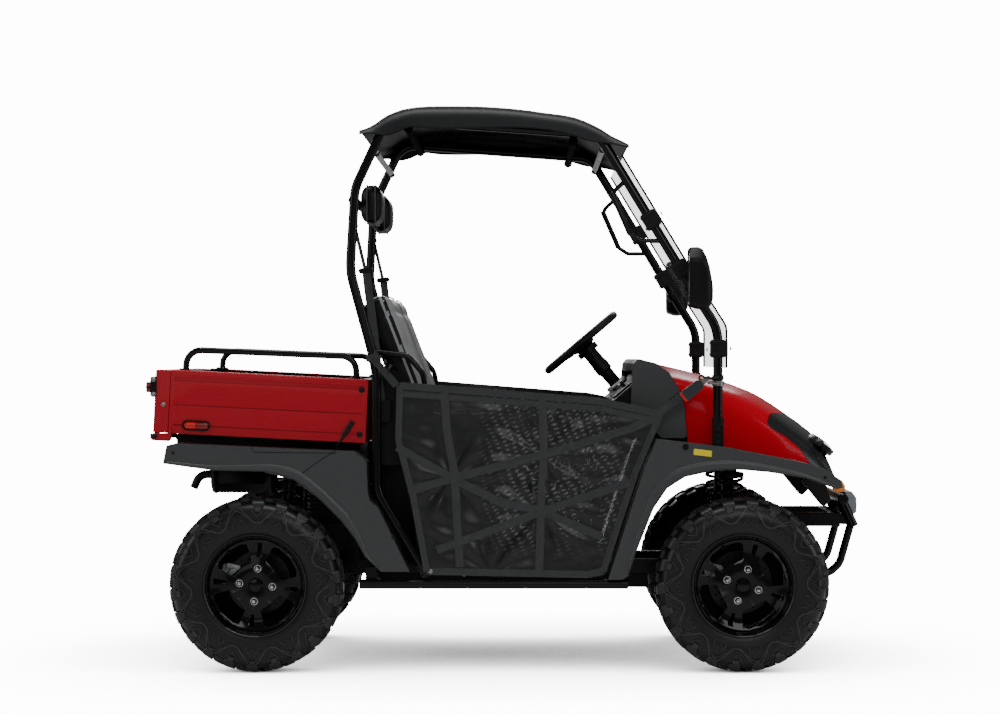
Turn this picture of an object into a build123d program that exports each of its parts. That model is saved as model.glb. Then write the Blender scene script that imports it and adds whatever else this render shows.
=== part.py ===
"""Side by side utility vehicle with a tilting bed: +X forward, +Y left, +Z up, millimetres.

The origin is on the ground, under the middle of the whole vehicle.
Outlines in side view are lists of (x, z) corners. Every pair of like pieces is made by one loop over
SIDES, whose rows are (name, sign of y).
"""

import math
import os

from build123d import *

os.makedirs("parts", exist_ok=True)
SIDES = (("left", 1), ("right", -1))

# ------------------------------------------------------------------ overall sizes
half_length = 1215
front_axle_x = 780
rear_axle_x = -845
half_track = 535
seat_gap = 0.3  # a piece that rests on another lies this far from it
running_gap = 0.05  # radial play of a shaft in its bore
cloth_gap = 0.5  # soft pieces stay this far from what carries them

# ------------------------------------------------------------------ wheels
tyre_radius = 292
tyre_half_width = 100
lug_columns = 44  # flat strips round a tyre: every other one is a lug, out of step from side to side
lug_depth = 12
lug_inner = 30
bead_radius = 172
rim_flange_radius = bead_radius - cloth_gap
rim_well_radius = 160
rim_wall = 9
rim_half_width = tyre_half_width - 5
rim_flange_thickness = 7
spoke_face = rim_half_width - 29  # spoke face, outboard of the wheel's middle plane
spoke_thickness = 18
spoke_count = 4
window_half_angle = 28
window_inner_radius = 72
window_outer_radius = 141
spoke_slot_length = 44
spoke_slot_width = 15
hub_radius = 60
hub_nose = 72
hub_back = -65
hub_neck_radius = 45
cap_radius = 24
cap_height = 6
disc_radius = 100
disc_thickness = 6
disc_offset = -62
stub_radius = 20
stub_tip = 9
hub_bore_depth = 10
rear_wheel_phase = -6
front_wheel_phase = -18

# ------------------------------------------------------------------ frame
rail_y = 193
rail_width = 40
lower_rail_bottom = 300
lower_rail_top = 350
lower_rail_rear = -790
lower_rail_front = half_length - 215
upper_rail_bottom = 695
upper_rail_top = 745
upper_rail_rear = -half_length + 45
upper_rail_front = -520
horn_bottom = 464
horn_top = 512
horn_rear = lower_rail_front - 120
horn_front = half_length - 65
post_length = 40
sill_y = 573
sill_diameter = 32
sill_z = 294
sill_rear = -500
sill_front = 398
floor_thickness = 6
floor_rear = -430
floor_front = 396
arch_gap_rear = -320  # the floor and seat base step inward behind this
arch_gap_front = 315  # and the floor ahead of this, clear of the wheel arches
skid_flange = 4

# ------------------------------------------------------------------ steering and front suspension
kingpin_y = 395
kingpin_radius = 12
arm_bottom = 300
arm_top = 330
knuckle_boss_radius = 22
knuckle_plate_inner = 420
axle_shoulder_y = 432
joint_play = 0.5
steering_arm_length = 100
steering_arm_half_width = 12
steering_arm_z = (350, 370)
rack_bar_radius = 8
rack_eye_radius = 14
rack_eye_half = 9
rack_x = front_axle_x - steering_arm_length
rack_z = steering_arm_z[1] + joint_play + rack_eye_half
wheel_centre = (259, 300, 1106)
wheel_rim_radius = 157
wheel_tube_diameter = 28
column_tilt = 40.3
column_diameter = 50
hub_depth = 39.5

# ------------------------------------------------------------------ roll cage
cage_diameter = 32
cage_low_y = 573
cage_high_y = 535
cage_lean_start = 1003
cage_top_z = 1850
bar_diameter = 25
hip_bar_diameter = 19
grab_diameter = 15

# ------------------------------------------------------------------ body
fender_outer_y = 610
fender_inner_y = 430
fender_skin = 6
hood_skin = 6
nose_half_width = 429.5
roof_half_width = 562
roof_skin = 6
roof_pad_inner = 520
roof_pad_top = 1870
windscreen_offset = 28
windscreen_thickness = 4
windscreen_half_width = 560
clamp_depth = 50
clamp_height = 62
dash_half_width = 512
dash_panel = 24

# ------------------------------------------------------------------ seats
seat_centre_y = 290
seat_width = 480
seat_base_half_width = seat_centre_y + seat_width / 2 + 10
seat_base_top = 719
seat_base_front = -2
cushion_top = 865
cushion_front = 1
cushion_rear = -371
headrest_width = 250
headrest_centre = (-471, 300, 1574)
headrest_height = 143
headrest_depth = 82

# ------------------------------------------------------------------ bed
bed_rake = 2.9
bed_origin = (-half_length + 23, 0, 801)  # rear, middle, bottom corner of the raked box
bed_clearance = 21  # the bed's front stays this far behind the cage posts
cage_post_x = -444
bed_length = cage_post_x - cage_diameter / 2 - bed_clearance - bed_origin[0]
bed_height = 210
bed_half_width = 565
bed_wall = 44
bed_floor = 20
gate_thickness = 49
gate_gap = 2
gate_skin = 6
hinge_x = bed_origin[0] + 6
hinge_z = bed_origin[2] - 11
hinge_y = bed_half_width - 50
hinge_lug_half = 10
hinge_ear = 8
hinge_play = 2
latch_y = bed_half_width - 19
hinge_pin_radius = 5
pivot_x = bed_origin[0] + 42
pivot_z = bed_origin[2] - 26
pivot_radius = 12
bed_rail_diameter = 22
bed_rail_y = bed_half_width - 31
net_y = 589.5
net_thickness = 3


# ------------------------------------------------------------------ helpers
def block(x, y, z, mode=Mode.ADD):
    """A block between a low and a high face along each axis."""
    middle = ((x[0] + x[1]) / 2, (y[0] + y[1]) / 2, (z[0] + z[1]) / 2)
    with Locations(middle):
        Box(abs(x[1] - x[0]), abs(y[1] - y[0]), abs(z[1] - z[0]), mode=mode)


def span(sign, inner, outer):
    """Low and high y of a piece between two distances from the middle, on one side."""
    return tuple(sorted((sign * inner, sign * outer)))


def side_slab(outline, y, mode=Mode.ADD):
    """An (x, z) outline made solid between two y values."""
    with BuildSketch(Plane.XZ.offset(-max(y))) as face:
        with BuildLine():
            Polyline(*outline, close=True)
        make_face()
    extrude(face.sketch, amount=max(y) - min(y), mode=mode)


def tube(points, diameter, bend=0.0, mode=Mode.ADD):
    """A round bar along straight runs joined by arcs."""
    with BuildLine() as path:
        if len(points) == 2:
            Line(*points)
        else:
            FilletPolyline(*points, radius=bend)
    with BuildSketch(Plane(origin=path.line @ 0, z_dir=path.line % 0)) as section:
        Circle(diameter / 2)
    sweep(section.sketch, path=path.line, mode=mode)


def rod_y(x, z, radius, y, mode=Mode.ADD):
    """A round bar across the vehicle between two y values."""
    with Locations(Plane(origin=(x, (y[0] + y[1]) / 2, z), z_dir=(0, 1, 0))):
        Cylinder(radius, abs(y[1] - y[0]), mode=mode)


def rod_z(x, y, radius, z, mode=Mode.ADD):
    """An upright round bar between two heights."""
    with Locations((x, y, (z[0] + z[1]) / 2)):
        Cylinder(radius, abs(z[1] - z[0]), mode=mode)


def save(builder, name):
    """Label a finished piece and write it."""
    builder.part.label = name
    export_step(builder.part, f"parts/{name}.step")


def cage_y(z):
    """The cage leans inward above the seats."""
    share = min(max((z - cage_lean_start) / (cage_top_z - cage_lean_start), 0), 1)
    return cage_low_y + (cage_high_y - cage_low_y) * share


def on_cage(sign, points):
    """(x, z) corners taken to the leaning plane of one side of the cage."""
    return [(x, sign * cage_y(z), z) for x, z in points]


rear_corner = (-410, 1850)
front_corner = (300, 1800)


def rail_z(x):
    """Height of the roof rail's centre line."""
    share = (x - rear_corner[0]) / (front_corner[0] - rear_corner[0])
    return rear_corner[1] + (front_corner[1] - rear_corner[1]) * share


rail_joint = (-300, rail_z(-300))
rear_post_line = [(-271.5, 320), (cage_post_x + 1, 600), (cage_post_x, 1003), (-461, 1077), (-533, 1340),
    (-517, 1620), rear_corner, rail_joint]
front_post_line = [rail_joint, front_corner, (636, 1244), (698, 1147), (698, 760)]
rear_post_bends = [120, 300, 250, 250, 160, 80]
front_post_bends = [80, 150, 150]


# ------------------------------------------------------------------ wheels
carcass_radius = tyre_radius - lug_depth
flat_radius = 1 / math.cos(math.pi / lug_columns)  # corner radius of a strip whose middle is at 1
LUG_PROFILE = [  # (radius, distance from the middle plane) from the tread's middle to the sidewall
    (carcass_radius, lug_inner),
    (tyre_radius, lug_inner + 2),
    (tyre_radius - 8, tyre_half_width - 27),
    (tyre_radius - 30, tyre_half_width - 3),
    (tyre_radius - 62, tyre_half_width),
]
GROOVE_PROFILE = [
    (carcass_radius, lug_inner),
    (carcass_radius - 13, tyre_half_width - 20),
    (tyre_radius - 62, tyre_half_width),
]
BEAD_PROFILE = [
    (tyre_radius - 62, tyre_half_width),
    (bead_radius + 6, tyre_half_width - 8.5),
    (rim_well_radius * flat_radius, tyre_half_width - 20),
]


def tyre_solid():
    """One tyre about the z axis: flat strips, each following the lug or the groove profile."""
    faces = []

    def corner(column, point, side):
        turn = 2 * math.pi * column / lug_columns
        return (point[0] * math.cos(turn), point[0] * math.sin(turn), side * point[1])

    def flat(points):
        return Face(Wire.make_polygon(points, close=True))

    for column in range(lug_columns):
        for side in (1, -1):
            is_lug = (column % 2 == 0) == (side > 0)
            profile = (LUG_PROFILE if is_lug else GROOVE_PROFILE) + BEAD_PROFILE[1:]
            for first, second in zip(profile, profile[1:]):
                ends = [corner(column, first, side), corner(column + 1, first, side)]
                ends += [corner(column + 1, second, side), corner(column, second, side)]
                faces.append(flat(ends))
            wall = LUG_PROFILE + GROOVE_PROFILE[1:-1]
            faces.append(flat([corner(column, point, side) for point in wall]))
        for point in (LUG_PROFILE[0], BEAD_PROFILE[-1]):
            ends = [corner(column, point, 1), corner(column + 1, point, 1)]
            ends += [corner(column + 1, point, -1), corner(column, point, -1)]
            faces.append(flat(ends))
    return Solid(Shell(faces))


WHEELS = (  # name, x of the axle, sign of y, turn of the spokes
    ("front_left", front_axle_x, 1, front_wheel_phase),
    ("front_right", front_axle_x, -1, front_wheel_phase),
    ("rear_left", rear_axle_x, 1, rear_wheel_phase),
    ("rear_right", rear_axle_x, -1, rear_wheel_phase),
)


def wheel_plane(x, sign):
    """Plane at a wheel's middle, its z axis pointing outboard."""
    return Plane(origin=(x, sign * half_track, tyre_radius), x_dir=(sign, 0, 0), z_dir=(0, sign, 0))


def revolve_profile(plane, corners, mode=Mode.ADD):
    """Turn (radius, along) corners about a plane's z axis."""
    with BuildSketch(Plane(origin=plane.origin, x_dir=plane.x_dir, z_dir=-plane.y_dir)) as half:
        with BuildLine():
            Polyline(*corners, close=True)
        make_face()
    revolve(half.sketch, axis=Axis(plane.origin, plane.z_dir), mode=mode)


one_tyre = tyre_solid()
for wheel_name, axle_x, sign, phase in WHEELS:
    plane = wheel_plane(axle_x, sign)
    with BuildPart() as tyre:
        add(one_tyre.moved(plane.location))
    save(tyre, f"tyre_{wheel_name}")

    well = rim_well_radius - seat_gap
    flange_in = rim_half_width - rim_flange_thickness
    with BuildPart() as rim:
        revolve_profile(
            plane,
            [
                (well, -flange_in),
                (rim_flange_radius, -flange_in),
                (rim_flange_radius, -rim_half_width),
                (well - rim_wall, -rim_half_width),
                (well - rim_wall, rim_half_width),
                (rim_flange_radius, rim_half_width),
                (rim_flange_radius, flange_in),
                (well, flange_in),
            ],
        )
        with BuildSketch(plane.offset(spoke_face - spoke_thickness)):
            Circle(well - rim_wall / 2)
            Circle(hub_radius - 1, mode=Mode.SUBTRACT)
            for step in range(spoke_count):
                turn = sign * phase + step * 360 / spoke_count
                with BuildLine(mode=Mode.PRIVATE) as window:
                    low = turn + 45 - window_half_angle
                    high = turn + 45 + window_half_angle
                    outer = CenterArc((0, 0), window_outer_radius, low, high - low)
                    inner = CenterArc((0, 0), window_inner_radius, low + 4, high - low - 8)
                    Line(outer @ 0, inner @ 0)
                    Line(outer @ 1, inner @ 1)
                add(make_face(window.edges(), mode=Mode.PRIVATE), mode=Mode.SUBTRACT)
                with Locations(
                    Rot(0, 0, turn) * Pos(window_outer_radius - spoke_slot_length / 2, 0)
                ):
                    SlotOverall(spoke_slot_length, spoke_slot_width, mode=Mode.SUBTRACT)
        extrude(amount=spoke_thickness)
        revolve_profile(
            plane,
            [
                (stub_radius + running_gap, hub_back),
                (hub_neck_radius, hub_back),
                (hub_neck_radius, -20),
                (hub_radius, 0),
                (hub_radius, spoke_face),
                (hub_radius - 8, hub_nose - 4),
                (cap_radius, hub_nose - 4),
                (cap_radius - 3, hub_nose - 4 + cap_height),
                (0, hub_nose - 4 + cap_height),
                (0, stub_tip + hub_bore_depth),
                (stub_radius + running_gap, stub_tip + hub_bore_depth),
            ],
        )
        with Locations(plane.offset(disc_offset)):
            Cylinder(disc_radius, disc_thickness)
            Cylinder(hub_neck_radius - 1, disc_thickness + 2, mode=Mode.SUBTRACT)
        revolve_profile(
            plane,
            [
                (stub_radius + running_gap, hub_back),
                (hub_neck_radius, hub_back),
                (hub_neck_radius, hub_back + 30),
                (stub_radius + running_gap, hub_back + 30),
            ],
        )
    save(rim, f"rim_{wheel_name}")

# ------------------------------------------------------------------ frame
rail_in = rail_y - rail_width / 2
rail_out = rail_y + rail_width / 2

with BuildPart() as frame_rails:
    for name, sign in SIDES:
        y = span(sign, rail_in, rail_out)
        block((lower_rail_rear, lower_rail_front), y, (lower_rail_bottom, lower_rail_top))
        block((upper_rail_rear, upper_rail_front), y, (upper_rail_bottom, upper_rail_top))
        block((horn_rear, horn_front), y, (horn_bottom, horn_top))
        for post_x in (lower_rail_rear, upper_rail_front - post_length, front_axle_x - post_length):
            top = upper_rail_bottom
            block((post_x, post_x + post_length), y, (lower_rail_top, top))
        block((horn_rear, horn_rear + post_length), y, (lower_rail_top, horn_bottom))
        sill_path = [
            (sill_rear, sign * sill_y, sill_z),
            (sill_front, sign * sill_y, sill_z),
        ]
        tube(sill_path, sill_diameter)
save(frame_rails, "frame_rails")

tower_bottom = upper_rail_bottom
tower_top = 720
outrigger_bottom = 705
bracket_top = 300
hitch_z = (400, 440)
hitch_hole_x = -1038
hitch_hole_radius = 8
hitch_plate = 12
with BuildPart() as frame_cross_members:
    for member_x in (-740, -500, -60, 355, lower_rail_front - 60):
        block((member_x, member_x + 40), (-rail_in, rail_in), (lower_rail_bottom, lower_rail_top))
    for name, sign in SIDES:
        reach = span(sign, rail_out, sill_y - sill_diameter / 2 - seat_gap)
        for outrigger_x in (-481, -60, 276):
            block((outrigger_x, outrigger_x + 38), reach, (lower_rail_bottom - 10, lower_rail_top))
        block((-760, -720), span(sign, rail_out, fender_inner_y - seat_gap),
            (outrigger_bottom, upper_rail_top))
    block((738, 778), (-fender_inner_y + seat_gap, fender_inner_y - seat_gap), (tower_bottom, tower_top))
    block((-560, -520), (-rail_in, rail_in), (upper_rail_bottom, upper_rail_top))
    block((lower_rail_rear, lower_rail_rear + post_length), (-rail_in, rail_in), hitch_z)
    block((hitch_hole_x + 38, lower_rail_rear + 1), (-25, 25), hitch_z)
    block((hitch_hole_x - 24, hitch_hole_x + 39), (-32, 32), (hitch_z[0], hitch_z[0] + hitch_plate))
    rod_z(hitch_hole_x, 0, hitch_hole_radius, (hitch_z[0] - 1, hitch_z[0] + hitch_plate + 1),
        mode=Mode.SUBTRACT)
    block((rack_x - 25, rack_x + 25), (-rail_out, rail_out), (lower_rail_top, rack_z + 30))
    rod_y(rack_x, rack_z, rack_bar_radius + running_gap, (-rail_out - 1, rail_out + 1), mode=Mode.SUBTRACT)
    block((horn_front - post_length, horn_front), (-rail_in, rail_in), (horn_bottom, horn_top))
save(frame_cross_members, "frame_cross_members")

with BuildPart() as bed_pivot:
    rod_y(pivot_x, pivot_z, pivot_radius, (-rail_out - 8, rail_out + 8))
    for name, sign in SIDES:
        block((pivot_x - 14, pivot_x + 14), span(sign, rail_in - 14, rail_in - 2),
            (upper_rail_bottom, pivot_z + 8))
    block((pivot_x - 14, pivot_x + 14), (-rail_in, rail_in), (upper_rail_bottom, upper_rail_bottom + 30))
save(bed_pivot, "bed_pivot")

toe_line = [(396, 356.3), (420, 430), (480, 560), (588, 672), (588, 778.5)]
toe_thickness = 6
with BuildPart() as floor:
    plate_z = (lower_rail_top, lower_rail_top + floor_thickness)
    plate_y = sill_y - sill_diameter / 2 - 2
    block((floor_rear, floor_front + 6), (-fender_inner_y + 2, fender_inner_y - 2), plate_z)
    block((arch_gap_rear, arch_gap_front), (-plate_y, plate_y), plate_z)
    toe_back = [(x - toe_thickness, z) for x, z in toe_line[::-1]]
    side_slab([(396, 353), *toe_line[1:], *toe_back[:-1], (390, 353)],
        (-fender_inner_y + 2, fender_inner_y - 2))
save(floor, "floor")

skid_line = [(-500, 280), (0, 254), (480, 252), (480, lower_rail_bottom), (-500, lower_rail_bottom)]
skid_cut = [(-501, 284), (0, 258), (481, 256), (481, lower_rail_bottom + 1), (-501, lower_rail_bottom + 1)]
with BuildPart() as skid_plate:
    side_slab(skid_line, (-rail_out, rail_out))
    side_slab(skid_cut, (-rail_out + skid_flange, rail_out - skid_flange), mode=Mode.SUBTRACT)
save(skid_plate, "skid_plate")

# ------------------------------------------------------------------ engine and exhaust
engine_x = (-740, -450)
engine_half_width = 165
muffler_y = -100
muffler_z = 630
with BuildPart() as engine:
    block(engine_x, (-engine_half_width, engine_half_width), (lower_rail_top, 640))
save(engine, "engine")

with BuildPart() as muffler:
    with Locations(Plane(origin=(-935, muffler_y, muffler_z), z_dir=(1, 0, 0))):
        Cylinder(58, 230)
    tube([(-821, muffler_y, muffler_z - 20), (engine_x[0] - seat_gap, muffler_y, muffler_z - 20)], 40)
    tail = [(-1049, muffler_y, muffler_z + 10), (-1090, muffler_y, muffler_z + 10),
        (-1110, muffler_y, muffler_z - 40)]
    tube(tail, 36, 22)
save(muffler, "muffler")

# ------------------------------------------------------------------ suspension
spring_radius = 45
SPRINGS = (  # foot and head: x, distance from the middle, height of the seat
    ((770, 300, arm_top), (758, 345, tower_bottom)),
    ((-768, 330, bracket_top), (-745, 345, outrigger_bottom)),
)
with BuildPart() as front_arms:
    for name, sign in SIDES:
        with BuildSketch(Plane.XY.offset(arm_bottom)):
            with BuildLine():
                Polyline(
                    (front_axle_x - 90, sign * rail_out),
                    (front_axle_x + 90, sign * rail_out),
                    (front_axle_x + 17, sign * kingpin_y),
                    (front_axle_x - 17, sign * kingpin_y),
                    close=True,
                )
            make_face()
        extrude(amount=arm_top - arm_bottom)
        rod_z(front_axle_x, sign * kingpin_y, 18, (arm_bottom, arm_top))
        rod_z(front_axle_x, sign * kingpin_y, kingpin_radius, (226, 376))
save(front_arms, "front_arms")

with BuildPart() as springs:
    for name, sign in SIDES:
        for foot, head in SPRINGS:
            run = Vector(head) - Vector(foot)
            drop = spring_radius * math.hypot(run.X, run.Y) / run.length + seat_gap
            low = (foot[0], sign * foot[1], foot[2] + drop)
            high = (head[0], sign * head[1], head[2] - drop)
            tube([low, high], 2 * spring_radius)
save(springs, "springs")

axle_z = tyre_radius
with BuildPart() as rear_axle:
    rod_y(rear_axle_x, axle_z, 30, (-axle_shoulder_y, axle_shoulder_y))
    with Locations((rear_axle_x, 0, axle_z)):
        Sphere(85)
    for name, sign in SIDES:
        rod_y(rear_axle_x, axle_z, stub_radius, span(sign, axle_shoulder_y - 1, half_track + stub_tip))
        block((rear_axle_x, -600), span(sign, 100, 150), (255, lower_rail_bottom - seat_gap))
        block((-830, -722), span(sign, 305, 355), (285, bracket_top))
        block((-860, -826), span(sign, 306, 354), (262, bracket_top))
save(rear_axle, "rear_axle")

for name, sign in SIDES:
    with BuildPart() as knuckle:
        block(
            (front_axle_x - 35, front_axle_x + 35),
            span(sign, knuckle_plate_inner, axle_shoulder_y),
            (232, 372),
        )
        for low, high in ((232, arm_bottom - joint_play), (arm_top + joint_play, 372)):
            rod_z(front_axle_x, sign * kingpin_y, knuckle_boss_radius, (low, high))
            block((front_axle_x - 20, front_axle_x + 20), span(sign, kingpin_y, knuckle_plate_inner + 1),
                (low, high))
        rod_z(front_axle_x, sign * kingpin_y, kingpin_radius + running_gap, (231, 373), mode=Mode.SUBTRACT)
        rod_y(front_axle_x, axle_z, stub_radius, span(sign, axle_shoulder_y - 1, half_track + stub_tip))
        arm_y = span(sign, kingpin_y - steering_arm_half_width, kingpin_y + steering_arm_half_width)
        block((rack_x, front_axle_x - 18), arm_y, steering_arm_z)
        rod_z(rack_x, sign * kingpin_y, steering_arm_half_width, steering_arm_z)
    save(knuckle, f"knuckle_{name}")

with BuildPart() as steering_rack_bar:
    rod_y(rack_x, rack_z, rack_bar_radius, (-kingpin_y, kingpin_y))
    for name, sign in SIDES:
        rod_z(rack_x, sign * kingpin_y, rack_eye_radius, (rack_z - rack_eye_half, rack_z + rack_eye_half))
save(steering_rack_bar, "steering_rack_bar")

# ------------------------------------------------------------------ steering wheel and column
tilt = math.radians(column_tilt)
to_driver = Vector(-math.sin(tilt), 0, math.cos(tilt))
column_top = Vector(*wheel_centre)
wheel_face = Plane(origin=column_top, x_dir=(0, -1, 0), z_dir=to_driver)
with BuildPart() as steering_wheel:
    with Locations(wheel_face):
        Torus(wheel_rim_radius, wheel_tube_diameter / 2)
    with BuildSketch(wheel_face.offset(-18)):
        with Locations((0, 0)):
            Circle(42)
        for angle in (0, 180, 270):
            with Locations(Rot(0, 0, angle) * Pos(wheel_rim_radius / 2 + 12, 0)):
                Rectangle(wheel_rim_radius - 24, 26)
    extrude(amount=12)
    with Locations(wheel_face.offset(-hub_depth / 2 - 6)):
        Cylinder(30, hub_depth - 12)
save(steering_wheel, "steering_wheel")

dash_face_foot = Vector(350, 0, 905)
column_length = (dash_face_foot - Vector(wheel_centre[0], 0, wheel_centre[2])).dot(-to_driver)
with BuildPart() as steering_column:
    start = column_top - to_driver * (hub_depth + joint_play)
    end = column_top - to_driver * column_length
    tube([start, end], column_diameter)
save(steering_column, "steering_column")

# ------------------------------------------------------------------ roll cage
with BuildPart() as roll_cage_rear:
    for name, sign in SIDES:
        tube(on_cage(sign, rear_post_line), cage_diameter, rear_post_bends)
save(roll_cage_rear, "roll_cage_rear")

with BuildPart() as roll_cage_front:
    for name, sign in SIDES:
        tube(on_cage(sign, front_post_line), cage_diameter, front_post_bends)
save(roll_cage_front, "roll_cage_front")

headrest_bar = (-525, 1580)
roof_bars = ((-340, 1822), (215, 1780))
with BuildPart() as roll_cage_cross_bars:
    for bar_x, bar_z in (headrest_bar, *roof_bars, (-444, 985)):
        reach = cage_y(bar_z)
        rod_y(bar_x, bar_z, bar_diameter / 2, (-reach, reach))
    for name, sign in SIDES:
        tube(on_cage(sign, rear_post_line), cage_diameter + 2 * seat_gap, rear_post_bends,
            mode=Mode.SUBTRACT)
        tube(on_cage(sign, front_post_line), cage_diameter + 2 * seat_gap, front_post_bends,
            mode=Mode.SUBTRACT)
save(roll_cage_cross_bars, "roll_cage_cross_bars")

hip_y = seat_base_half_width + hip_bar_diameter / 2 + seat_gap
with BuildPart() as hand_bars:
    for name, sign in SIDES:
        hip = [(-458, 1072), (-339, 1057), (-290, 1000), (-262, 860), (-262, 640)]
        tube([(x, sign * hip_y, z) for x, z in hip], hip_bar_diameter, [40, 60, 80])
        grab = [(392, 1647), (345, 1602), (405, 1465), (440, 1442), (516, 1442)]
        tube(on_cage(sign, grab), grab_diameter, [25, 30, 25])
    for name, sign in SIDES:
        tube(on_cage(sign, rear_post_line), cage_diameter + 2 * seat_gap, rear_post_bends,
            mode=Mode.SUBTRACT)
        tube(on_cage(sign, front_post_line), cage_diameter + 2 * seat_gap, front_post_bends,
            mode=Mode.SUBTRACT)
save(hand_bars, "hand_bars")

# ------------------------------------------------------------------ bumper
upright_top = Vector(half_length - 64, 0, 562)
upright_foot_z = 462
upright_diameter = 38
lean = Vector(half_length - 17 - upright_top.X, 0, upright_foot_z - upright_top.Z).normalized()
upright_foot = Vector(half_length + lean.Z * upright_diameter / 2, 0, upright_foot_z)
with BuildPart() as front_bumper:
    rod_y(upright_top.X, upright_top.Z, 18, (-285, 285))
    for name, sign in SIDES:
        y = sign * rail_y
        tube([(upright_top.X, y, upright_top.Z), (upright_foot.X, y, upright_foot_z)], upright_diameter)
        low_path = [(half_length - behind, y, z) for behind,
            z in ((27, 470), (65, 335), (110, 292), (175, 318))]
        low_path.append((lower_rail_front + seat_gap, y, 318))
        tube(low_path, 28, [60, 50, 40])
        block((horn_front + seat_gap, half_length - 35), span(sign, rail_y - 10, rail_y + 10), (470, 506))
save(front_bumper, "front_bumper")

guard_half_width = rail_y - upright_diameter / 2 - seat_gap
with BuildPart() as bumper_guard:
    skin_line = [(43, 500), (19, 500), (3, 512), (3, 560), (19, 583), (43, 583)]  # back from the front end
    core_line = [(55, 515), (9, 515), (9, 558), (25, 577), (55, 577)]
    side_slab([(half_length - back, z) for back, z in skin_line], (-guard_half_width, guard_half_width))
    guard_core = guard_half_width - 6
    side_slab([(half_length - back, z) for back, z in core_line], (-guard_core, guard_core),
        mode=Mode.SUBTRACT)
save(bumper_guard, "bumper_guard")

# ------------------------------------------------------------------ fenders
front_fender_top = [(492, 779), (719, 753), (990, 699), (1057, 677), (1103, 644), (1112, 618)]
front_fender_line = [
    (330, 311),
    (377, 311),
    (397, 324),
    (424, 405),
    (481, 548),
    (526, 615),
    (585, 653),
    (674, 673),
    (764, 678),
    (867, 669),
    (987, 649),
    (1092, 613),
    *front_fender_top[::-1],
    (451, 682),
]
rear_fender_line = [
    (-1153, 698),
    (-984, 675),
    (-821, 671),
    (-716, 644),
    (-631, 579),
    (-563, 511),
    (-515, 450),
    (-481, 389),
    (-427, 338),
    (-332, 338),
    (-437, 552),
    (-464, 574),
    (-471, 606),
    (-475, 701),
    (-515, 739),
    (-576, 741),
    (-859, 753),
    (-1113, 765),
    (-1141, 758),
]


def inset(outline, distance):
    """The outline moved inward by a skin's thickness, as a private face."""
    with BuildSketch(Plane.XZ, mode=Mode.PRIVATE) as sketch:
        with BuildLine():
            Polyline(*outline, close=True)
        make_face()
        offset(amount=-distance, kind=Kind.INTERSECTION, mode=Mode.REPLACE)
    return sketch.sketch


def fender(outline, sign, tab_x, tab_z):
    """A hollow arch, open towards the wheel house, with one tab on its inner edge."""
    y = span(sign, fender_inner_y, fender_outer_y)
    side_slab(outline, y)
    skin = fender_skin
    cut_y = span(sign, fender_inner_y - 1, fender_outer_y - skin)
    core = inset(outline, skin)
    solid = extrude(core.moved(Location((0, max(cut_y), 0))), amount=max(cut_y) - min(cut_y),
        mode=Mode.PRIVATE)
    add(solid, mode=Mode.SUBTRACT)
    block(tab_x, span(sign, fender_inner_y, fender_inner_y + skin), tab_z)


with BuildPart() as front_fenders:
    for name, sign in SIDES:
        fender(front_fender_line, sign, (738, 778), (679, 741))
save(front_fenders, "front_fenders")

with BuildPart() as rear_fenders:
    for name, sign in SIDES:
        fender(rear_fender_line, sign, (-760, -720), (655, 746))
save(rear_fenders, "rear_fenders")

# ------------------------------------------------------------------ hood, nose and lamps
BODY_SECTIONS = (  # x, bottom z, shoulder z, crown z, bottom half width, shoulder half width
    (505, 778, 985, 1031, 515, 492),
    (719, 753.5, 935, 982, 508, 480),
    (860, 725.4, 870, 926, 480, 445),
    (990, 699.5, 770, 852, nose_half_width, 395),
    (1060, 652, 720, 792, 418, 370),
    (1133, 600, 612, 638, 385, 330),
)
seam_line = [(1021, 690), (1001, 725), (977, 752), (942.5, 780.5), (888, 811.5), (875, 828), (884, 851),
    (893, 858.5), (963, 857.5), (995, 868)]
nose_region = [*seam_line, (1300, 868), (1300, 500), (1021, 500)]


def body_loft(sections, skin=0.0, mode=Mode.ADD):
    """A loft through upright sections, each a flat bottom, two sides and a crowned top."""
    faces = []
    for x, bottom, shoulder, crown, low_width, high_width in sections:
        with BuildSketch(Plane.YZ.offset(x)) as section:
            with BuildLine():
                low = low_width - skin
                high = high_width - skin
                floor_z = bottom - skin * 4
                Polyline((high, shoulder - skin), (low, floor_z), (-low, floor_z), (-high, shoulder - skin))
                ThreePointArc((-high, shoulder - skin), (0, crown - skin), (high, shoulder - skin))
            make_face()
        faces.append(section.sketch)
    loft(faces, ruled=True, mode=mode)


seam_cut = [(380, 600), (380, 1100), (505, 1100), (505, 1026), (540.5, 1001), (575.5, 940), (592.5, 878),
    (599, 775), (599, 600)]
cut_reach = 600
with BuildPart() as hood:
    body_loft(BODY_SECTIONS)
    body_loft([(BODY_SECTIONS[0][0] - 1, *BODY_SECTIONS[0][1:]), *BODY_SECTIONS[1:]], hood_skin,
        mode=Mode.SUBTRACT)
    side_slab(nose_region, (-cut_reach, cut_reach), mode=Mode.SUBTRACT)
    side_slab(seam_cut, (-cut_reach, cut_reach), mode=Mode.SUBTRACT)
save(hood, "hood")

lamp_normal = Vector(0.62, 0, 0.785).normalized()
lamp_centre = (1080, 262, 742)
lamp_radii = (42, 78)
lamp_depth = 30


def lamp_back(sign, gap=0.0):
    """The plane of a headlamp's back, or that far behind it."""
    return Plane(origin=(lamp_centre[0], sign * lamp_centre[1], lamp_centre[2]),
        z_dir=lamp_normal).offset(-lamp_depth - gap)


with BuildPart() as headlamps:
    for name, sign in SIDES:
        with BuildSketch(lamp_back(sign)):
            Ellipse(*lamp_radii)
        extrude(amount=lamp_depth + 14)
save(headlamps, "headlamps")

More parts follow.
